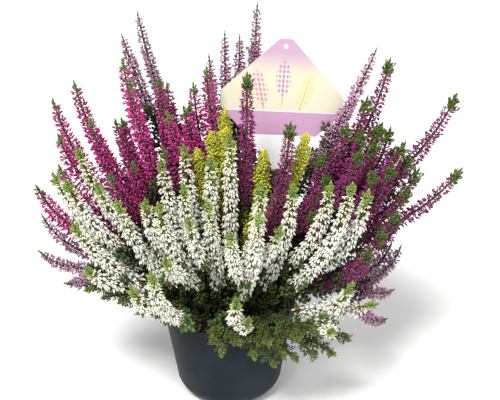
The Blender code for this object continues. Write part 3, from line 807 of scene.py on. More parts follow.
class Nodes:
    """A node tree that is filled from left to right."""

    def __init__(self, tree: bpy.types.NodeTree) -> None:
        """Keep the tree and clear it."""
        self.tree = tree
        tree.nodes.clear()

    def add(self, kind: str, settings: dict | None = None, **values: object) -> bpy.types.Node:
        """Return a new node.

        Args:
            kind: The node's type.
            settings: Its own settings by name.
            values: Its inputs by name, or by place as i0, i1 and so on: values or sockets.
        """
        node = self.tree.nodes.new(kind)
        node.location = (-260 + 220 * len(self.tree.nodes), 0)
        for name, value in (settings or {}).items():
            setattr(node, name, value)
        for name, value in values.items():
            key = int(name[1:]) if name[0] == "i" and name[1:].isdigit() else name.replace("_", " ")
            if isinstance(value, bpy.types.NodeSocket):
                self.tree.links.new(value, node.inputs[key])
            else:
                node.inputs[key].default_value = value
        return node

    def math(self, operation: str, *values: object) -> bpy.types.NodeSocket:
        """Return the result of one sum on sockets or numbers."""
        inputs = {f"i{k}": value for k, value in enumerate(values)}
        return self.add("ShaderNodeMath", {"operation": operation}, **inputs).outputs[0]

    def times(self, first: object, second: object) -> bpy.types.NodeSocket:
        """Return the product of two sockets or numbers."""
        return self.math("MULTIPLY", first, second)

    def less(self, first: object, second: object) -> bpy.types.NodeSocket:
        """Return the first socket or number less the second."""
        return self.math("SUBTRACT", first, second)

    def span(self, value: bpy.types.NodeSocket, low: float, high: float) -> bpy.types.NodeSocket:
        """Return 0 below the low value, 1 above the high one, and a smooth rise between."""
        way = {"interpolation_type": "SMOOTHSTEP"}
        return self.add("ShaderNodeMapRange", way, i0=value, i1=low, i2=high).outputs[0]

    def mix(self, share: object, first: object, second: object) -> bpy.types.NodeSocket:
        """Return a blend of two colours, each a socket or three numbers."""
        ends = [(*end, 1.0) if isinstance(end, tuple) else end for end in (first, second)]
        way = {"data_type": "RGBA", "blend_type": "MIX"}
        return self.add("ShaderNodeMix", way, i0=share, i6=ends[0], i7=ends[1]).outputs[2]

    def place(self) -> bpy.types.NodeSocket:
        """Return the place on the object, in metres."""
        return self.add("ShaderNodeTexCoord").outputs["Object"]

    def clouds(self, scale: float, detail: float, low: float, high: float) -> bpy.types.NodeSocket:
        """Return a mask of soft clouds, given by the four numbers of a Clouds value."""
        noise = self.add("ShaderNodeTexNoise", Vector=self.place(), Scale=scale, Detail=detail)
        return self.span(noise.outputs["Fac"], low, high)

    def finish(self, shader: bpy.types.Node) -> None:
        """Lead the shader to the surface."""
        end = self.add("ShaderNodeOutputMaterial")
        self.tree.links.new(shader.outputs[0], end.inputs["Surface"])


class Effects:
    """Shader groups that several finishes share, each made once."""

    made: dict[str, bpy.types.NodeTree] = {}

    @classmethod
    def group(cls, name: str, inputs: list[tuple[str, str]], outputs: list[tuple[str, str]]) -> tuple:
        """Return a new group's nodes with its inner ends.

        Args:
            name: The group's name.
            inputs: Name and kind of each input socket.
            outputs: Name and kind of each output socket.
        """
        tree = bpy.data.node_groups.new(name, "ShaderNodeTree")
        for way, rows in (("INPUT", inputs), ("OUTPUT", outputs)):
            for label, kind in rows:
                tree.interface.new_socket(label, in_out=way, socket_type=f"NodeSocket{kind}")
        nodes = Nodes(tree)
        cls.made[name] = tree
        return nodes, nodes.add("NodeGroupInput").outputs, nodes.add("NodeGroupOutput")

    @classmethod
    def living_tone(cls) -> bpy.types.NodeTree:
        """Return the group that colours a bud or leaf from its base to its tip and up the spike.

        Its inputs are the colours named in Living, how much single forms differ in lightness
        (Spread), and how light the foot of the spike is kept under its painted shade (the last input).
        """
        if "living_tone" in cls.made:
            return cls.made["living_tone"]
        rows = [(name, "Color") for name in ("Foot", "Body", "Tip", "Young", "Old")]
        rows += [("Spread", "Float"), ("Deep", "Float")]
        nodes, given, out = cls.group("living_tone", rows, [("Colour", "Color")])
        tone = nodes.add("ShaderNodeAttribute", {"attribute_name": "tone"})
        parts = nodes.add("ShaderNodeSeparateColor", i0=tone.outputs["Color"])
        along, chance, up = parts.outputs[0], parts.outputs[1], parts.outputs[2]
        colour = nodes.mix(nodes.span(along, 0.0, 0.42), given["Foot"], given["Body"])
        colour = nodes.mix(nodes.span(along, 0.55, 1.0), colour, given["Tip"])
        colour = nodes.mix(nodes.times(nodes.span(up, 0.62, 1.0), 0.75), colour, given["Young"])
        faded = nodes.times(nodes.span(chance, 0.80, 1.0), 0.55)
        colour = nodes.mix(nodes.times(faded, nodes.span(up, 0.8, 0.5)), colour, given["Old"])
        swing = nodes.times(nodes.less(chance, 0.5), given["Spread"])
        # Painted shade: the low part of each spike and stem is darkened, as where the plant's own shade
        # falls.
        rest = nodes.less(1.0, given["Deep"])
        deep = nodes.math("MULTIPLY_ADD", nodes.span(up, 0.0, 0.3), rest, given["Deep"])
        light = nodes.times(nodes.math("ADD", 1.0, swing), deep)
        light = nodes.times(light, tone.outputs["Alpha"])
        shaded = nodes.add("ShaderNodeVectorMath", {"operation": "SCALE"}, i0=colour, i3=light)
        nodes.tree.links.new(shaded.outputs[0], out.inputs["Colour"])
        return cls.made["living_tone"]

    @classmethod
    def fine_grain(cls) -> bpy.types.NodeTree:
        """Return the group that gives a fine surface relief."""
        if "fine_grain" in cls.made:
            return cls.made["fine_grain"]
        rows = [("Scale", "Float"), ("Detail", "Float")]
        nodes, given, out = cls.group("fine_grain", rows, [("Height", "Float")])
        noise = nodes.add("ShaderNodeTexNoise", Vector=nodes.place(), Scale=given["Scale"],
                          Detail=given["Detail"], Roughness=0.6)
        nodes.tree.links.new(noise.outputs["Fac"], out.inputs["Height"])
        return cls.made["fine_grain"]


@dataclass(frozen=True)
class Finish:
    """What every finish has: a surface grain and how rough it is.

    Attributes:
        name: The material's name.
        roughness: Least and greatest roughness.
        grain: How fine the relief is.
        relief: How strongly it shows.
        depth: Its depth in metres.
    """

    name: str
    roughness: Pair = (0.5, 0.7)
    grain: float = 900.0
    relief: float = 0.15
    depth: float = 0.0002

    def colour(self, nodes: Nodes) -> bpy.types.NodeSocket:
        """Return the socket that gives the finish its colour."""
        raise NotImplementedError

    def settings(self) -> dict[str, object]:
        """Return the Principled shader's own plain values."""
        return {"Specular IOR Level": 0.35}

    def material(self) -> bpy.types.Material:
        """Return the finish as a material, made the first time it is asked for."""
        if self.name in bpy.data.materials:
            return bpy.data.materials[self.name]
        made = bpy.data.materials.new(self.name)
        made.use_nodes = True
        nodes = Nodes(made.node_tree)
        shader = nodes.add("ShaderNodeBsdfPrincipled", Base_Color=self.colour(nodes))
        group = {"node_tree": Effects.fine_grain()}
        height = nodes.add("ShaderNodeGroup", group, Scale=self.grain, Detail=4.0).outputs["Height"]
        rough = nodes.add("ShaderNodeMapRange", i0=height, i1=0.3, i2=0.7,
                          i3=self.roughness[0], i4=self.roughness[1])
        bump = nodes.add("ShaderNodeBump", Height=height, Strength=self.relief, Distance=self.depth)
        nodes.tree.links.new(rough.outputs[0], shader.inputs["Roughness"])
        nodes.tree.links.new(bump.outputs[0], shader.inputs["Normal"])
        for name, value in self.settings().items():
            shader.inputs[name].default_value = value
        nodes.finish(shader)
        return made


@dataclass(frozen=True)
class Living(Finish):
    """A bud's or leaf's finish, in linear light.

    Attributes:
        foot: Colour of its base.
        body: Colour of its middle.
        tip: Colour of its tip.
        young: Colour that it turns to near the top of the spike.
        old: Colour of the few faded ones.
        spread: How much single ones differ in lightness.
        deep: Painted shade: how light the foot of the spike is kept, from 0 to 1.
        glow: Weight of the light that thin petals let through.
        through: How far red, green and blue light go through them.
        through_depth: The scale of that, in metres.
    """

    foot: Colour = (0.2, 0.3, 0.1)
    body: Colour = (0.5, 0.5, 0.5)
    tip: Colour = (0.7, 0.7, 0.7)
    young: Colour = (0.3, 0.4, 0.1)
    old: Colour = (0.4, 0.3, 0.2)
    spread: float = 0.35
    deep: float = 0.45
    glow: float = 0.0
    through: Triple = (1.0, 0.8, 0.6)
    through_depth: float = 0.0015

    def colour(self, nodes: Nodes) -> bpy.types.NodeSocket:
        """Return the colour that the shared group makes from this finish's own colours."""
        names = ("foot", "body", "tip", "young", "old")
        values = {name.capitalize(): (*getattr(self, name), 1.0) for name in names}
        group = {"node_tree": Effects.living_tone()}
        group = nodes.add("ShaderNodeGroup", group, Spread=self.spread, Deep=self.deep, **values)
        return group.outputs["Colour"]

    def settings(self) -> dict[str, object]:
        """Return the plain values, with the light that thin petals let through."""
        values = {"Specular IOR Level": 0.3}
        if self.glow:
            values |= {"Subsurface Weight": self.glow, "Subsurface Radius": self.through,
                       "Subsurface Scale": self.through_depth}
        return values


@dataclass(frozen=True)
class Bark(Finish):
    """A stem's finish: brown bark below, soft green wood above."""

    wood: Colour = (0.075, 0.045, 0.028)
    ridge: Colour = (0.16, 0.10, 0.06)
    fresh: Colour = (0.055, 0.050, 0.022)
    ridges: Clouds = (420.0, 5.0, 0.42, 0.62)
    turn: Pair = (0.35, 0.75)

    def colour(self, nodes: Nodes) -> bpy.types.NodeSocket:
        """Return bark with pale ridges that turns to green wood up the stem."""
        bark = nodes.mix(nodes.clouds(*self.ridges), self.wood, self.ridge)
        tone = nodes.add("ShaderNodeAttribute", {"attribute_name": "tone"})
        up = nodes.add("ShaderNodeSeparateColor", i0=tone.outputs["Color"]).outputs[0]
        return nodes.mix(nodes.span(up, *self.turn), bark, self.fresh)


@dataclass(frozen=True)
class Bloom:
    """How one heather carries its buds, in millimetres and degrees.

    The pairs give a value at the foot of the flowered part and one at its top.

    Attributes:
        size: A bud's length and width.
        pitch: Way along the spike from one side twig to the next.
        twig: A side twig's length.
        count: Buds on a side twig.
        fall: Angle between a bud and the spike's direction.
        sag: How much the buds hang.
        core: Distance from the stem at which side twigs start.
        lower: How much further down the buds of a tall shoot reach, as a share of its length
            beyond the tall length.
        tall: Length from which a shoot is tall.
    """

    size: Pair
    pitch: float
    twig: Pair
    count: Pair
    fall: Pair
    sag: float
    core: float = 1.0
    lower: float = 0.0
    tall: float = 180.0


BLOOMS = {
    Kind.WHITE: Bloom((4.9, 1.92), 1.17, (4.3, 1.6), (4.6, 2.6), (118, 84), 0.50),
    Kind.PINK: Bloom((4.3, 1.78), 0.85, (4.8, 2.2), (5.0, 3.8), (80, 56), 0.10),
    Kind.PURPLE: Bloom((4.2, 1.65), 0.85, (4.0, 2.4), (4.8, 4.0), (84, 62), 0.10),
    Kind.LILAC: Bloom((3.8, 1.9), 0.78, (3.2, 1.0), (4.8, 3.0), (78, 50), 0.10, lower=0.4),
}


@dataclass(frozen=True)
class Crown:
    """The leafy crown at a shoot's tip.

    Attributes:
        nodes: Pairs of leaves up it.
        leaf: Length of its longest leaf, in millimetres.
        lean: Degrees that its leaves lean out, at its foot and at its tip.
        twigs: Number of short twigs round it.
    """

    nodes: int
    leaf: float
    lean: Pair
    twigs: int


CROWNS = {
    Kind.LILAC: Crown(6, 2.8, (34, 6), 0),
    Kind.PINK: Crown(7, 3.8, (34, 8), 3),
    Kind.PURPLE: Crown(9, 4.6, (40, 10), 7),
    Kind.WHITE: Crown(9, 4.4, (46, 10), 5),
    Kind.YELLOW: Crown(7, 3.0, (40, 12), 4),
    Kind.GREEN: Crown(6, 3.0, (54, 16), 5),
}

# Each bud's foot is green for its calyx, and darker than that as painted shade where the buds crowd their
# twig.
BUDS = {
    Kind.WHITE: Living(
        "white_bud", foot=(0.15, 0.15, 0.05), body=(0.87, 0.86, 0.76), tip=(0.94, 0.93, 0.87),
        young=(0.68, 0.73, 0.44), old=(0.72, 0.66, 0.48), spread=0.25, deep=0.80, glow=0.08),
    Kind.PINK: Living(
        "pink_bud", foot=(0.12, 0.015, 0.05), body=(0.46, 0.028, 0.20), tip=(0.62, 0.10, 0.34),
        young=(0.40, 0.05, 0.19), old=(0.20, 0.02, 0.08), spread=0.6, deep=0.45, glow=0.05),
    Kind.PURPLE: Living(
        "purple_bud", foot=(0.07, 0.012, 0.035), body=(0.22, 0.020, 0.115), tip=(0.42, 0.085, 0.27),
        young=(0.30, 0.05, 0.16), old=(0.11, 0.02, 0.05), spread=0.7, deep=0.40, glow=0.05),
    Kind.LILAC: Living(
        "lilac_bud", foot=(0.20, 0.08, 0.11), body=(0.46, 0.23, 0.37), tip=(0.66, 0.44, 0.58),
        young=(0.45, 0.26, 0.34), old=(0.26, 0.12, 0.16), spread=0.5, deep=0.55, glow=0.05),
}

LEAVES = {
    Kind.LILAC: Living(
        "lilac_leaf", foot=(0.02, 0.03, 0.01), body=(0.055, 0.075, 0.024), tip=(0.12, 0.15, 0.05),
        young=(0.18, 0.25, 0.08), old=(0.22, 0.05, 0.13), spread=0.6, deep=0.35),
    Kind.PINK: Living(
        "pink_leaf", foot=(0.015, 0.03, 0.008), body=(0.05, 0.085, 0.020), tip=(0.12, 0.19, 0.045),
        young=(0.18, 0.27, 0.07), old=(0.20, 0.03, 0.09), spread=0.6, deep=0.30),
    Kind.PURPLE: Living(
        "purple_leaf", foot=(0.015, 0.03, 0.008), body=(0.06, 0.095, 0.018), tip=(0.13, 0.19, 0.04),
        young=(0.11, 0.165, 0.035), old=(0.17, 0.03, 0.09), spread=0.6, deep=0.30),
    Kind.WHITE: Living(
        "white_leaf", foot=(0.02, 0.04, 0.01), body=(0.07, 0.13, 0.025), tip=(0.18, 0.28, 0.06),
        young=(0.32, 0.44, 0.10), old=(0.12, 0.09, 0.03), spread=0.6, deep=0.35),
    Kind.YELLOW: Living(
        "yellow_leaf", foot=(0.14, 0.16, 0.015), body=(0.44, 0.45, 0.040), tip=(0.68, 0.67, 0.09),
        young=(0.84, 0.78, 0.12), old=(0.34, 0.36, 0.05), spread=0.5, deep=0.22),
    Kind.GREEN: Living(
        "green_leaf", foot=(0.014, 0.026, 0.006), body=(0.06, 0.095, 0.018), tip=(0.19, 0.25, 0.055),
        young=(0.20, 0.28, 0.06), old=(0.10, 0.08, 0.03), spread=0.9, deep=0.35),
}


@dataclass
class Heathers:
    """Every spray of every heather: stems, leafy twigs, buds and leafy crowns, in millimetres.

    Attributes:
        shoots: The laid-out shoots.
        bud_fan: Turns of a side twig's buds round it, in radians.
        bud_fade: Share of the flowered part over which the buds change towards its top.
        bud_start: Share of buds at the very foot, and the way over which they get their full number.
        bud_wide: Width of the modelled bud for a length of one.
        bud_top: Size of the topmost buds, and the share of the way over which they shrink.
        bud_sizes: Smallest and largest bud, over the mean.
        twig_pitch: Way along a leafy stem from twig to twig.
        twig_length: Shortest and longest leafy twig.
        twig_gain: How much longer the twigs are that fill the plant under the flowers.
        twig_widths: Least and greatest width of a twig, over its length.
        twig_forms: Pairs of leaves and bend of the modelled twigs.
        twig_lean: Least and greatest angle at which these twigs lean out, in degrees.
        spiky_lean: The same in the spike of a yellow shoot.
        gain_part: Part of the way up in which the longer twigs stand.
        over_peat: Heights over which a twig's foot and end are clear of the peat.
        past_rim: Distance from the pot's axis at which a twig's end is clear of the rim.
        inner_pitch: Way from one set of small leaves to the next among the buds.
        inner_length: Shortest and longest of these leaves.
        inner_lean: Their least and greatest lean.
        crown_lean: Least and greatest lean of a crown's twigs.
        crown_least: Least length over which the crown's twigs stand.
        stem: Radius at the foot of a main and of a side shoot.
        stem_up: Radius half-way up, near the tip and at the tip.
        stub: How deep a stem stands in the peat.
        seed: Start of the random numbers.
    """

    shoots: list[Shoot]
    bud_fan: tuple[float, ...] = (0.0, 0.75, -0.75, 1.3, -1.3, 0.4, -0.4)
    bud_fade: float = 0.36
    bud_start: Pair = (0.30, 0.12)
    bud_wide: float = 0.40
    bud_top: Pair = (0.72, 0.3)
    bud_sizes: Pair = (0.82, 1.12)
    twig_pitch: float = 3.5
    twig_length: Pair = (8.0, 14.0)
    twig_gain: float = 1.3
    twig_widths: Pair = (1.2, 1.7)
    twig_forms: tuple[tuple[int, float], ...] = ((6, 0.10), (7, -0.14), (5, 0.05))
    twig_lean: Pair = (38, 70)
    spiky_lean: Pair = (30, 52)
    gain_part: Pair = (0.1, 0.35)
    over_peat: Pair = (84, 85)
    past_rim: float = 66
    inner_pitch: float = 3.4
    inner_length: Pair = (2.4, 4.0)
    inner_lean: Pair = (30, 65)
    crown_lean: Pair = (26, 44)
    crown_least: float = 9.0
    stem: Pair = (1.25, 0.85)
    stem_up: Triple = (1.7, 1.1, 0.4)
    stub: float = 8.0
    seed: int = 20

    def __post_init__(self) -> None:
        """Model the forms that repeat."""
        self.buds = dict.fromkeys(BLOOMS, Patterns.small_bud()) | {Kind.WHITE: Patterns.bud()}
        self.leaf = Patterns.scale_leaf()
        crown_leaf = Patterns.crown_leaf()
        self.twigs = [Patterns.twig(self.leaf, nodes, 1.0 / nodes, 2.1 / nodes, (50, 16), bend)
                      for nodes, bend in self.twig_forms]
        self.crown_twig = Patterns.twig(crown_leaf, 4, 0.25, 0.62, (40, 8), 0.08)
        self.crowns = {}
        for kind, crown in CROWNS.items():
            size = crown.leaf / HABITS[kind].tuft
            step = 1.0 / crown.nodes
            self.crowns[kind] = Patterns.twig(crown_leaf, crown.nodes, step, size, crown.lean, 0.04)

    @staticmethod
    def round_about(shoot: Shoot, places: Array, turns: Array) -> tuple[Array, Array, Array, Array]:
        """Return points on the shoot, its direction there, and the ways out and round it."""
        points, ahead, across, beside = shoot.frames(places)
        out = np.cos(turns)[:, None] * across + np.sin(turns)[:, None] * beside
        return points, ahead, out, np.cross(ahead, out)

    def add_buds(self, swarm: Swarm, shoot: Shoot) -> None:
        """Add one spike's buds, on short side twigs below and close to the stem above."""
        bloom, chance = BLOOMS[shoot.kind], swarm.chance
        start = shoot.flowers_from() - bloom.lower * max(shoot.length - bloom.tall, 0)
        end = shoot.length - 0.75 * HABITS[shoot.kind].tuft
        number = max(round((end - start) / bloom.pitch), 4)
        steps = np.arange(number) + 0.5 + chance.uniform(-0.4, 0.4, number)
        places = start + (end - start) * steps / number
        share = (places - start) / (end - start)
        turns = np.arange(number) * GOLDEN_TURN + chance.uniform(*ANY_TURN) + chance.normal(0, 0.3, number)
        points, ahead, out, round_way = self.round_about(shoot, places, turns)
        fade = np.clip((1 - share) / self.bud_fade, 0, 1)
        taper = np.clip(self.bud_start[0] + share / self.bud_start[1], 0, 1)
        count = np.rint(blend(bloom.count, 1 - fade) * taper + chance.uniform(-0.4, 0.4, number))
        twig = blend(bloom.twig, 1 - fade) * chance.uniform(0.7, 1.2, number)
        least, over = self.bud_top
        for bud, swing in enumerate(self.bud_fan):
            rows = np.maximum(count, 1) > bud
            own = rows.sum()
            turn = swing + chance.normal(0, 0.18, own)
            way = np.cos(turn)[:, None] * out[rows] + np.sin(turn)[:, None] * round_way[rows]
            reach = (bloom.core + twig[rows] * (1 - 0.15 * bud))[:, None]
            foot = points[rows] + reach * unit(out[rows] + 0.35 * way + 0.5 * ahead[rows])
            fall = blend(bloom.fall, 1 - fade[rows]) + chance.normal(0, 11, own)
            grow = leaning(fall, way, ahead[rows]) - bloom.sag * fade[rows][:, None] * UP
            size = least + (1 - least) * np.clip((1 - share[rows]) / over, 0, 1)
            size = size * chance.uniform(*self.bud_sizes, own)
            wide = bloom.size[1] / self.bud_wide * size
            scales = sized(wide, bloom.size[0] * size)
            swarm.add(self.buds[shoot.kind], foot, turned_to(grow, round_way[rows]), scales, share[rows])

    def add_inner_leaves(self, swarm: Swarm, shoot: Shoot) -> None:
        """Add the sets of small leaves that show between the buds."""
        start = shoot.flowers_from() - 4
        end = shoot.length - 0.8 * HABITS[shoot.kind].tuft
        places = np.repeat(np.arange(start, end, self.inner_pitch), 3)
        turns = np.arange(len(places)) * GOLDEN_TURN * 1.3
        points, ahead, out, round_way = self.round_about(shoot, places, turns)
        share = np.clip((places - start) / (end - start), 0, 1)
        ways = leaning(swarm.chance.uniform(*self.inner_lean, len(places)), out, ahead)
        long = swarm.chance.uniform(*self.inner_length, len(places))
        scales = sized(0.8 * long, long)
        swarm.add(self.leaf, points + 0.4 * out, turned_to(ways, round_way), scales, share)

    def add_twigs(self, swarm: Swarm, shoot: Shoot) -> None:
        """Add the leafy twigs of the part below the buds, or of the whole of a green shoot."""
        chance, green = swarm.chance, shoot.kind in (Kind.GREEN, Kind.YELLOW)
        start = 6.0 if shoot.main is None else 9.0
        end = shoot.length - 3.0 if green else shoot.flowers_from() + 6.0
        pitch = self.twig_pitch * (0.30 if shoot.kind is Kind.YELLOW else 0.50 if green else 1.0)
        number = max(round((end - start) / pitch), 3)
        places = np.linspace(start, end, number)
        turns = np.arange(number) * GOLDEN_TURN + chance.uniform(*ANY_TURN)
        points, ahead, out, round_way = self.round_about(shoot, places, turns)
        # How far up the shoot each twig stands, squeezed so that more of the lower twigs take the painted
        # shade of living_tone.
        up = (0.8 if green else 0.5) * places / shoot.length
        long = chance.uniform(*self.twig_length, number)
        long = long * np.clip(0.45 + (shoot.length - places) / 40, 0, 1)
        spiky = (shoot.kind is Kind.YELLOW) & (places > shoot.flowers_from())
        long = np.where(spiky, 0.80 * long, 0.80 * long if shoot.kind is Kind.GREEN else long)
        spiky_lean = chance.uniform(*self.spiky_lean, number)
        lean = np.where(spiky, spiky_lean, chance.uniform(*self.twig_lean, number))
        ways = unit(leaning(lean, out, ahead) + 0.25 * UP)
        if not green:
            low, high = self.gain_part
            long = np.where((up > low) & (up < high), self.twig_gain * long, long)
        ends = points + long[:, None] * ways
        over_peat = (points[:, 2] > self.over_peat[0]) & (ends[:, 2] > self.over_peat[1])
        clear = over_peat | (np.hypot(ends[:, 0], ends[:, 1]) > self.past_rim)
        kinds = np.full(number, 2)
        if shoot.kind is not Kind.YELLOW:
            kinds = chance.integers(0, len(self.twigs), number)
        for row, twig in enumerate(self.twigs):
            rows = clear & (kinds == row)
            wide = long[rows] * chance.uniform(*self.twig_widths, rows.sum())
            turns = turned_to(ways[rows], round_way[rows])
            swarm.add(twig, points[rows], turns, sized(wide, long[rows]), up[rows])

    def add_crown(self, swarm: Swarm, shoot: Shoot) -> None:
        """Add the leafy crown that ends the shoot, with the short twigs round it."""
        tuft = HABITS[shoot.kind].tuft
        points, _, across, _ = shoot.frames(np.array([shoot.length - tuft]))
        way = unit(shoot.axis[-1][None] - points)
        wide = tuft * swarm.chance.uniform(0.9, 1.1)
        scales = np.array([[wide, wide, tuft]])
        swarm.add(self.crowns[shoot.kind], points, turned_to(way, across), scales, np.array([0.97]))
        number = CROWNS[shoot.kind].twigs
        if not number:
            return
        tuft = max(tuft, self.crown_least)
        places = shoot.length - tuft * np.linspace(1.0, 0.42, number)
        turns = np.arange(number) * GOLDEN_TURN + swarm.chance.uniform(*ANY_TURN)
        points, ahead, out, round_way = self.round_about(shoot, places, turns)
        ways = unit(leaning(swarm.chance.uniform(*self.crown_lean, number), out, ahead))
        long = tuft * np.linspace(0.50, 0.34, number) * swarm.chance.uniform(0.85, 1.1, number)
        turns = turned_to(ways, round_way)
        swarm.add(self.crown_twig, points + 0.3 * out, turns, sized(long, long), np.full(number, 0.95))

    def stems(self, swarm: Swarm, group: list[Shoot], name: str) -> None:
        """Add the spray's stems, drawn as round curves that thin towards their tips."""
        curve = bpy.data.curves.new(name, "CURVE")
        curve.dimensions = "3D"
        curve.bevel_depth = 1.0  # the points' own radii scale this
        curve.bevel_resolution = 0
        curve.use_fill_caps = True
        for shoot in group:
            axis, full = shoot.axis, self.stem[1]
            if shoot.main is None:
                axis, full = np.vstack([axis[0] - self.stub * UP, axis]), self.stem[0]
            line = Bench.add_line(curve, axis)
            share = np.linspace(0, 1, len(axis))
            line.points.foreach_set("radius", np.interp(share, (0, 0.5, 0.9, 1), (full, *self.stem_up)))
        shape = Shape.taken_from(Bench.meshed(name, curve))
        low, high = shape.points[:, 2].min(), max(shoot.axis[-1][2] for shoot in group)
        shape.tips = np.clip((shape.points[:, 2] - low) / max(high - low, 1), 0, 1)
        swarm.add(shape, np.zeros((1, 3)), np.eye(3)[None], np.ones((1, 3)), np.zeros(1), slot=1)

    def build(self) -> int:
        """Build every spray as a piece of leaves and stems and a piece of buds.

        Returns:
            How many pieces were built.
        """
        counts = dict.fromkeys(Kind, 0)
        built = 0
        bark = Bark("bark").material()
        for spray in range(self.shoots[-1].spray + 1):
            group = [shoot for shoot in self.shoots if shoot.spray == spray]
            kind = group[0].kind
            counts[kind] += 1
            node = f"{kind.value}_spray_{counts[kind]:02d}"
            leaves = Swarm(self.seed + 2 * spray)
            self.stems(leaves, group, f"{node}_stem")
            for shoot in group:
                self.add_twigs(leaves, shoot)
                self.add_crown(leaves, shoot)
                self.add_inner_leaves(leaves, shoot)
            pieces = [(leaves.piece(f"{node}_leaves", [LEAVES[kind].material(), bark]), "green")]
            if kind in BLOOMS:
                shade = 1.0 if kind is Kind.WHITE else 0.78 + 0.36 * (spray * 0.618 % 1)
                buds = Swarm(self.seed + 2 * spray + 1, shade)
                for shoot in group:
                    self.add_buds(buds, shoot)
                pieces.append((buds.piece(f"{node}_buds", [BUDS[kind].material()]), kind.value))
            for piece, slot in pieces:
                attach(piece, "root")
                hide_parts(node)
                built += 1
        return built


@dataclass(frozen=True)
class Plastic(Finish):
    """The pot's matt slate-grey plastic, with faint dust near the rim."""

    slate: Colour = (0.008, 0.013, 0.018)
    worn: Colour = (0.014, 0.020, 0.026)
    dust: Colour = (0.08, 0.07, 0.055)
    wear: Clouds = (28.0, 5.0, 0.40, 0.65)
    specks: Clouds = (600.0, 2.0, 0.64, 0.72)
    dusty: Pair = (0.070, 0.092)
    dust_share: float = 0.5

    def settings(self) -> dict[str, object]:
        """Return the weak gloss of matt plastic."""
        return {"Specular IOR Level": 0.12}

    def colour(self, nodes: Nodes) -> bpy.types.NodeSocket:
        """Return slate grey with soft clouds and a little peat dust near the rim."""
        colour = nodes.mix(nodes.clouds(*self.wear), self.slate, self.worn)
        height = nodes.add("ShaderNodeSeparateXYZ", i0=nodes.place()).outputs[2]
        dusty = nodes.times(nodes.clouds(*self.specks), nodes.span(height, *self.dusty))
        return nodes.mix(nodes.times(dusty, self.dust_share), colour, self.dust)


@dataclass(frozen=True)
class Clouded(Finish):
    """A finish of two colours in clouds: damp peat, or the card's unprinted back."""

    main: Colour = (0.5, 0.5, 0.5)
    other: Colour = (0.4, 0.4, 0.4)
    clouds: Clouds = (60.0, 3.0, 0.35, 0.65)

    def colour(self, nodes: Nodes) -> bpy.types.NodeSocket:
        """Return the two colours, mixed by the clouds."""
        return nodes.mix(nodes.clouds(*self.clouds), self.main, self.other)


PEAT = Clouded("peat_crumb", roughness=(0.85, 1.0), grain=700.0, relief=0.6, depth=0.0006,
               main=(0.020, 0.012, 0.008), other=(0.11, 0.070, 0.045), clouds=(330.0, 6.0, 0.40, 0.66))
CARD_BACK = Clouded("card_back", roughness=(0.40, 0.55), grain=300.0, relief=0.05,
                    main=(0.62, 0.61, 0.59), other=(0.56, 0.55, 0.53))


@dataclass(frozen=True)
class Sprig:
    """One printed flower spike: its place in millimetres, its lean to the side, and its colour."""

    x: float
    y: float
    lean: float
    hue: Colour


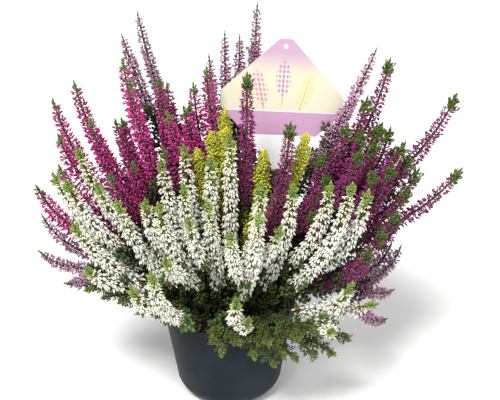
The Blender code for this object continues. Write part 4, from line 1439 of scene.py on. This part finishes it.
@dataclass(frozen=True)
class Card(Finish):
    """The plant label's printed front: three plain sprigs, a mauve band and a white corner.

    Attributes:
        top: Colour at the upper corner.
        middle: Colour round the sprigs.
        band: Colour of the band.
        paper: Colour of the thin line over the band.
        corner: Colour of the lower corner: white paper painted brighter than the paper line, as painted
            light against the plants' shadow on it.
        stake: Colour of the stake.
        stalk: Colour of the sprigs' stalks.
        sprigs: The printed sprigs.
        bead: How fast the beads of a sprig follow each other up it and across it.
        plume: Half the width and half the height of a sprig's beads.
        fade: Heights between which the middle's colour turns to the top's.
        band_from: The band's lower edge.
        band_to: The band's upper edge.
        line_to: The thin line's upper edge.
        slope: How much the band rises to the right.
        edge: How soft the band's edges are.
        line_edge: How soft the line's edges are.
        stake_from: Height below which the stake begins.
    """

    top: Colour = (0.49, 0.32, 0.44)
    middle: Colour = (0.64, 0.61, 0.46)
    band: Colour = (0.50, 0.29, 0.44)
    paper: Colour = (0.66, 0.65, 0.65)
    corner: Colour = (0.86, 0.85, 0.85)
    stake: Colour = (0.03, 0.05, 0.02)
    stalk: Colour = (0.30, 0.42, 0.16)
    sprigs: tuple[Sprig, ...] = (Sprig(-19, 8, 0.7, (0.55, 0.16, 0.42)),
                                 Sprig(0, 17, 0.0, (0.40, 0.16, 0.50)),
                                 Sprig(19, 8, -0.7, (0.85, 0.56, 0.16)))
    bead: Pair = (1.5, 1.9)
    plume: Pair = (6.5, 15)
    fade: Pair = (20, 46)
    band_from: float = -29.2
    band_to: float = -8.4
    line_to: float = -7.2
    slope: float = 0.03
    edge: float = 0.4
    line_edge: float = 0.3
    stake_from: float = -58.0

    @staticmethod
    def oval(nodes: Nodes, u: object, v: object, middle: Pair, half: Pair) -> bpy.types.NodeSocket:
        """Return a mask of one oval in the card's plane.

        Args:
            nodes: The finish's nodes.
            u: Way across the card, in millimetres.
            v: Way up the card, in millimetres.
            middle: The oval's middle.
            half: Half its width and half its height.
        """
        du, dv = (nodes.math("DIVIDE", nodes.less(way, at), size)
                  for way, at, size in zip((u, v), middle, half))
        return nodes.span(nodes.math("ADD", nodes.times(du, du), nodes.times(dv, dv)), 1.08, 0.92)

    def colour(self, nodes: Nodes) -> bpy.types.NodeSocket:
        """Return the printed colours, read from the card's own map in millimetres."""
        card = nodes.add("ShaderNodeUVMap", {"uv_map": "card"})
        parts = nodes.add("ShaderNodeSeparateXYZ", i0=card.outputs[0])
        u, v = parts.outputs[0], parts.outputs[1]
        colour = nodes.mix(nodes.span(v, *self.fade), self.middle, self.top)
        up, across = self.bead
        for sprig in self.sprigs:
            tilt = nodes.less(u, nodes.times(nodes.less(v, sprig.y), -0.35 * sprig.lean))
            stalk = self.oval(nodes, tilt, v, (sprig.x, sprig.y - 4), (0.7, 18))
            colour = nodes.mix(nodes.times(stalk, 0.8), colour, self.stalk)
            wave = nodes.math("SINE", nodes.times(v, up))
            side = nodes.math("COSINE", nodes.times(nodes.less(tilt, sprig.x), across))
            plume = self.oval(nodes, tilt, v, (sprig.x, sprig.y + 3), self.plume)
            beads = nodes.times(plume, nodes.span(nodes.math("ADD", wave, side), -0.1, 0.4))
            colour = nodes.mix(nodes.times(beads, 0.75), colour, sprig.hue)
        tilted = nodes.less(v, nodes.times(u, self.slope))
        low, high, soft = self.band_from, self.band_to, self.edge
        in_band = nodes.times(nodes.span(tilted, low, low + soft), nodes.span(tilted, high, high - soft))
        fine, top = self.line_edge, self.line_to
        line = nodes.times(nodes.span(tilted, high, high + fine), nodes.span(tilted, top, top - fine))
        # The lower corner is white paper, painted brighter than the paper line as painted light against the
        # shadow that the plants cast on it.
        colour = nodes.mix(nodes.span(tilted, high + fine, high - 0.1), colour, self.corner)
        colour = nodes.mix(line, colour, self.paper)
        colour = nodes.mix(in_band, colour, self.band)
        return nodes.mix(nodes.span(v, self.stake_from, self.stake_from - 3), colour, self.stake)


@dataclass
class Pot:
    """The thin plastic pot, in millimetres.

    Attributes:
        rim: Radius at the rim.
        height: Its height.
        wall: Its wall's thickness.
        base: Radius of the flat underside.
        lower: Radius above the rounded lower edge.
        lower_height: Height of the rounded lower edge.
        floor_ring: Radius of an extra ring in the floor, inside the drain holes.
        drain_ring: Distance of the drain holes from the middle.
        drain: Their radius.
        holes: Their number.
        steps: Steps round the pot.
    """

    rim: float = 60.0
    height: float = 92.0
    wall: float = 1.8
    base: float = 31.0
    lower: float = 48.0
    lower_height: float = 17.0
    floor_ring: float = 12.0
    drain_ring: float = 19.0
    drain: float = 3.5
    holes: int = 5
    steps: int = 96

    def lower_turn(self, inset: float, points: int) -> list[Pair]:
        """Return the profile of the rounded lower edge, from the wall down to the base."""
        turns = [k / (points - 1) * math.pi / 2 for k in range(points)]
        return [(self.base + (self.lower - self.base - inset) * math.cos(t),
                 self.lower_height - (self.lower_height - inset) * math.sin(t)) for t in turns]

    def radius_at(self, height: float) -> float:
        """Return the outer radius at a height above the rounded edge."""
        share = (height - self.lower_height) / (self.height - self.lower_height)
        return self.lower + share * (self.rim - self.lower)

    def profile(self) -> list[Pair]:
        """Return the profile from the middle of the floor, up inside, over the rim and down."""
        half = self.wall / 2
        lip = [(self.rim - half + half * math.cos(t), self.height - half + half * math.sin(t))
               for t in (math.pi * (1 - k / 8) for k in range(9))]
        inner = [(0.0, self.wall), (self.floor_ring, self.wall)] + self.lower_turn(self.wall, 12)[::-1]
        outer = self.lower_turn(0.0, 16) + [(self.floor_ring, 0.0), (0.0, 0.0)]
        return inner + lip + outer

    def build(self) -> bpy.types.Object:
        """Build the pot by spinning its profile and cutting the drain holes."""
        body = Bench.spun("pot_body", self.profile(), self.steps)
        for hole in range(self.holes):
            turn = 2 * math.pi * (hole + 0.2) / self.holes
            x, y = self.drain_ring * math.cos(turn) * MM, self.drain_ring * math.sin(turn) * MM
            Bench.clear()
            bpy.ops.mesh.primitive_cylinder_add(
                vertices=24, radius=self.drain * MM, depth=0.008, location=(x, y, 0.001))
            cutter = bpy.context.object
            cut = body.modifiers.new("drain", "BOOLEAN")
            cut.operation, cut.solver, cut.object = "DIFFERENCE", "EXACT", cutter
            bpy.context.view_layer.objects.active = body
            bpy.ops.object.modifier_apply(modifier=cut.name)
            bpy.data.objects.remove(cutter)
        Bench.hold(body)
        bpy.ops.object.shade_smooth_by_angle(angle=math.radians(40))
        body.data.materials.clear()
        plastic = Plastic("slate_plastic", roughness=(0.42, 0.55), grain=1400.0, relief=0.12)
        body.data.materials.append(plastic.material())
        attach(body, "root")
        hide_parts("pot")
        return body


@dataclass
class PeatPlug:
    """The peat: a mounded, crumbly surface and the plug under it, in millimetres.

    Attributes:
        pot: The pot that it fills.
        top: Height of its surface at the pot's wall.
        crown: How much higher the surface is in the middle.
        fit: Room left inside the pot's wall.
        rings: Rings from the surface's middle to its edge.
        steps: Steps round the plug.
        lumps: Number of soft lumps in the surface.
        lump_rise: Least and greatest height of a lump.
        lump_spread: How wide a lump is, as a squared length.
        rough: How far single points of the surface stand off.
        crumbs: Number of loose crumbs.
        crumb_size: Smallest and largest crumb's radius.
        seed: Start of the random numbers.
    """

    pot: Pot
    top: float = 82.0
    crown: float = 1.5
    fit: float = 0.3
    rings: int = 20
    steps: int = 80
    lumps: int = 90
    lump_rise: Pair = (-0.6, 1.5)
    lump_spread: float = 14.0
    rough: float = 0.35
    crumbs: int = 500
    crumb_size: Pair = (0.5, 1.6)
    seed: int = 5

    def plug(self, edge: float) -> bpy.types.Object:
        """Return the plug with its uneven surface, whose edge has the radius given."""
        inset = self.pot.wall + self.fit
        shares = [k / self.rings for k in range(self.rings + 1)]
        surface = [(edge * share, self.top + self.crown * (1 - share ** 2)) for share in shares]
        profile = surface + self.pot.lower_turn(inset, 6) + [(0.0, inset)]
        plug = Bench.spun("peat", profile, self.steps)
        chance = np.random.default_rng(self.seed)
        lumps = chance.uniform(-1, 1, (self.lumps, 2)) * edge
        rise = chance.uniform(*self.lump_rise, self.lumps)
        for vertex in plug.data.vertices:
            out = math.hypot(vertex.co.x, vertex.co.y) / MM
            if vertex.co.z / MM > self.top - 0.5 and out < edge - 0.2:
                apart = ((lumps - np.array(vertex.co[:2]) / MM) ** 2).sum(1)
                near = np.exp(-apart / self.lump_spread)
                fine = chance.uniform(-self.rough, self.rough)
                vertex.co.z += float((near * rise).sum() + fine) * MM
        plug.data.shade_smooth()
        plug.data.materials.clear()
        plug.data.materials.append(PEAT.material())
        return plug

    def loose(self, edge: float) -> bpy.types.Object:
        """Return the loose crumbs that lie on the surface."""
        swarm, number = Swarm(self.seed), self.crumbs
        spread = edge * np.sqrt(swarm.chance.uniform(0, 0.97, number))
        turn = swarm.chance.uniform(0, 2 * math.pi, number)
        height = self.top + self.crown * (1 - (spread / edge) ** 2) + 0.3
        places = np.stack([spread * np.cos(turn), spread * np.sin(turn), height], axis=1)
        size = swarm.chance.uniform(*self.crumb_size, number)[:, None]
        size = size * swarm.chance.uniform(0.6, 1.2, (number, 3))
        ways = swarm.chance.normal(0, 1, (number, 3))
        turns = turned_to(ways, np.roll(ways, 1, axis=1))
        swarm.add(Patterns.crumb(), places, turns, size, np.zeros(number))
        loose = swarm.piece("peat_crumbs", [PEAT.material()])
        loose.data.shade_flat()
        return loose

    def build(self) -> list[bpy.types.Object]:
        """Build the plug and the loose crumbs on it."""
        edge = self.pot.radius_at(self.top) - self.pot.wall - self.fit
        pieces = [self.plug(edge), self.loose(edge)]
        for piece in pieces:
            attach(piece, "root")
            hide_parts("soil")
        return pieces


@dataclass
class PlantLabel:
    """The square card on its corner, cut in one piece with its stake, in millimetres.

    Attributes:
        layout: Where the label stands, and its outline's sizes.
        thick: Its thickness.
        bevel: How far its edges are rounded.
        depth: How deep its stake goes into the peat.
        point: Length of the stake's pointed end.
        hole: Radius of its hang hole.
        hole_drop: Distance from the card's full corner to the hole's middle.
    """

    layout: Layout
    thick: float = 0.7
    bevel: float = 0.12
    depth: float = 14.0
    point: float = 8.0
    hole: float = 2.0
    hole_drop: float = 12.0

    def outline(self) -> list[Pair]:
        """Return the outline's corners, across and up the card, turning left."""
        stake, half, wide = self.layout.label_stake, self.layout.label_half, self.layout.stake_half
        middle = stake + half
        right = [(0, -self.depth), (wide, -self.depth + self.point), (wide, stake + wide)]
        side, top = self.layout.card_half, self.layout.top_cut
        right += [(side, middle + side - half), (side, middle + half - side), (top, middle + half - top)]
        return right + [(-x, y) for x, y in right[:0:-1]]

    def build(self) -> bpy.types.Object:
        """Build the card from a flat curve with its hang hole, and lay out its print."""
        middle = self.layout.label_stake + self.layout.label_half
        top = middle + self.layout.label_half - self.hole_drop
        turns = [2 * math.pi * k / 24 for k in range(24)]
        hole = [(self.hole * math.cos(t), top + self.hole * math.sin(t)) for t in turns]
        curve = bpy.data.curves.new("plant_card", "CURVE")
        curve.dimensions = "2D"
        curve.fill_mode = "BOTH"
        curve.extrude = self.thick / 2 - self.bevel
        curve.bevel_depth = self.bevel
        curve.bevel_resolution = 1
        for points in (self.outline(), hole):
            line = Bench.add_line(curve, np.array([(x, y, 0) for x, y in points]))
            line.use_cyclic_u = True
        body = Bench.meshed("plant_card", curve)
        mesh = body.data
        print_map = mesh.uv_layers.new(name="card")
        corners = np.empty(len(mesh.loops), int)
        mesh.loops.foreach_get("vertex_index", corners)
        points = np.empty(len(mesh.vertices) * 3)
        mesh.vertices.foreach_get("co", points)
        points = points.reshape(-1, 3)
        print_map.data.foreach_set("uv", (points[:, :2] - [0, middle])[corners].reshape(-1))
        across, along, front = self.layout.label_axes()
        foot = np.array([*self.layout.label_foot, self.layout.soil_top])
        placed = (points @ np.array([across, along, front]) + foot) * MM
        mesh.vertices.foreach_set("co", placed.reshape(-1))
        mesh.update()
        card = Card("printed_card", roughness=(0.30, 0.42), grain=300.0, relief=0.05)
        mesh.materials.append(card.material())
        mesh.materials.append(CARD_BACK.material())
        behind = [int(Vector(face.normal) @ Vector(front) < -0.5) for face in mesh.polygons]
        mesh.polygons.foreach_set("material_index", behind)
        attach(body, "root")
        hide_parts("label")
        return body


@dataclass
class Studio:
    """Pale floor, soft light and the photograph's camera, in metres.

    Attributes:
        camera_at: Where the camera stands.
        aim: The point that it looks at.
        lens: Its focal length in millimetres.
        sensor: Its sensor's width in millimetres.
        clip: Nearest and farthest distance that it shows.
        floor: The floor's width.
        floor_tints: The floor's two faint tints.
        sky: Strength of the white light from all round.
        lights: Each light's name, place, spread in radians and power.
    """

    camera_at: Triple = (0.019, -1.0392, 0.793)
    aim: Triple = (0.019, 0.0, 0.193)
    lens: float = 100.0
    sensor: float = 36.0
    clip: Pair = (0.05, 80.0)
    floor: float = 40.0
    floor_tints: tuple[Colour, Colour] = ((0.90, 0.90, 0.89), (0.92, 0.92, 0.92))
    sky: float = 0.55
    lights: tuple[tuple[str, Triple, float, float], ...] = (
        ("key_light", (-1.1, -2.3, 4.2), 0.32, 3.4), ("fill_light", (3.0, -2.2, 2.4), 0.90, 1.0))

    def face_aim(self, body: bpy.types.Object, place: Triple) -> None:
        """Put a light or the camera in its place and turn it to the plant."""
        body.location = place
        way = Vector(self.aim) - Vector(place)
        body.rotation_euler = way.to_track_quat("-Z", "Y").to_euler()

    def build_floor(self) -> None:
        """Lay the pale floor."""
        Bench.clear()
        bpy.ops.mesh.primitive_plane_add(size=self.floor, location=(0, 0, -MM / 2))
        floor = bpy.context.object
        floor.name = "floor"
        pale = bpy.data.materials.new("pale_floor")
        pale.use_nodes = True
        nodes = Nodes(pale.node_tree)
        noise = nodes.add("ShaderNodeTexNoise", Vector=nodes.place(), Scale=9.0, Detail=3.0)
        tint = nodes.mix(noise.outputs["Fac"], *self.floor_tints)
        nodes.finish(nodes.add("ShaderNodeBsdfPrincipled", Base_Color=tint, Roughness=0.9))
        floor.data.materials.append(pale)
        floor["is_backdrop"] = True

    def build(self) -> None:
        """Set out the floor, the lights and the camera."""
        self.build_floor()
        world = bpy.data.worlds.new("studio")
        bpy.context.scene.world = world
        world.use_nodes = True
        world.node_tree.nodes["Background"].inputs["Color"].default_value = (1.0, 1.0, 1.0, 1.0)
        world.node_tree.nodes["Background"].inputs["Strength"].default_value = self.sky
        for name, place, spread, power in self.lights:
            light = bpy.data.lights.new(name, "SUN")
            light.angle, light.energy = spread, power
            self.face_aim(Bench.place(name, light), place)
        camera = bpy.data.cameras.new("camera")
        camera.lens, camera.sensor_width = self.lens, self.sensor
        camera.clip_start, camera.clip_end = self.clip
        body = Bench.place("camera", camera)
        self.face_aim(body, self.camera_at)
        bpy.context.scene.camera = body
        bpy.context.scene.view_settings.view_transform = "Standard"


def write_size() -> None:
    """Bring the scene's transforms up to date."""
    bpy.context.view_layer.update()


def main() -> None:
    """Build the studio, the plant, the label, the peat and the pot."""
    logging.basicConfig(level=logging.INFO, format="%(message)s")
    Studio().build()
    layout = Layout()
    shoots = layout.grow()
    LOG.info("laid out %d shoots", len(shoots))
    LOG.info("heathers: %d pieces", Heathers(shoots).build())
    LOG.info("label: %s", PlantLabel(layout).build().name)
    pot = Pot()
    LOG.info("pot: %s", pot.build().name)
    LOG.info("peat: %s", [piece.name for piece in PeatPlug(pot).build()])
    total = sum(len(p.vertices) - 2 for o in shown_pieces() for p in o.data.polygons)
    LOG.info("triangles: %d", total)
    write_size()


if __name__ == "__main__":
    main()
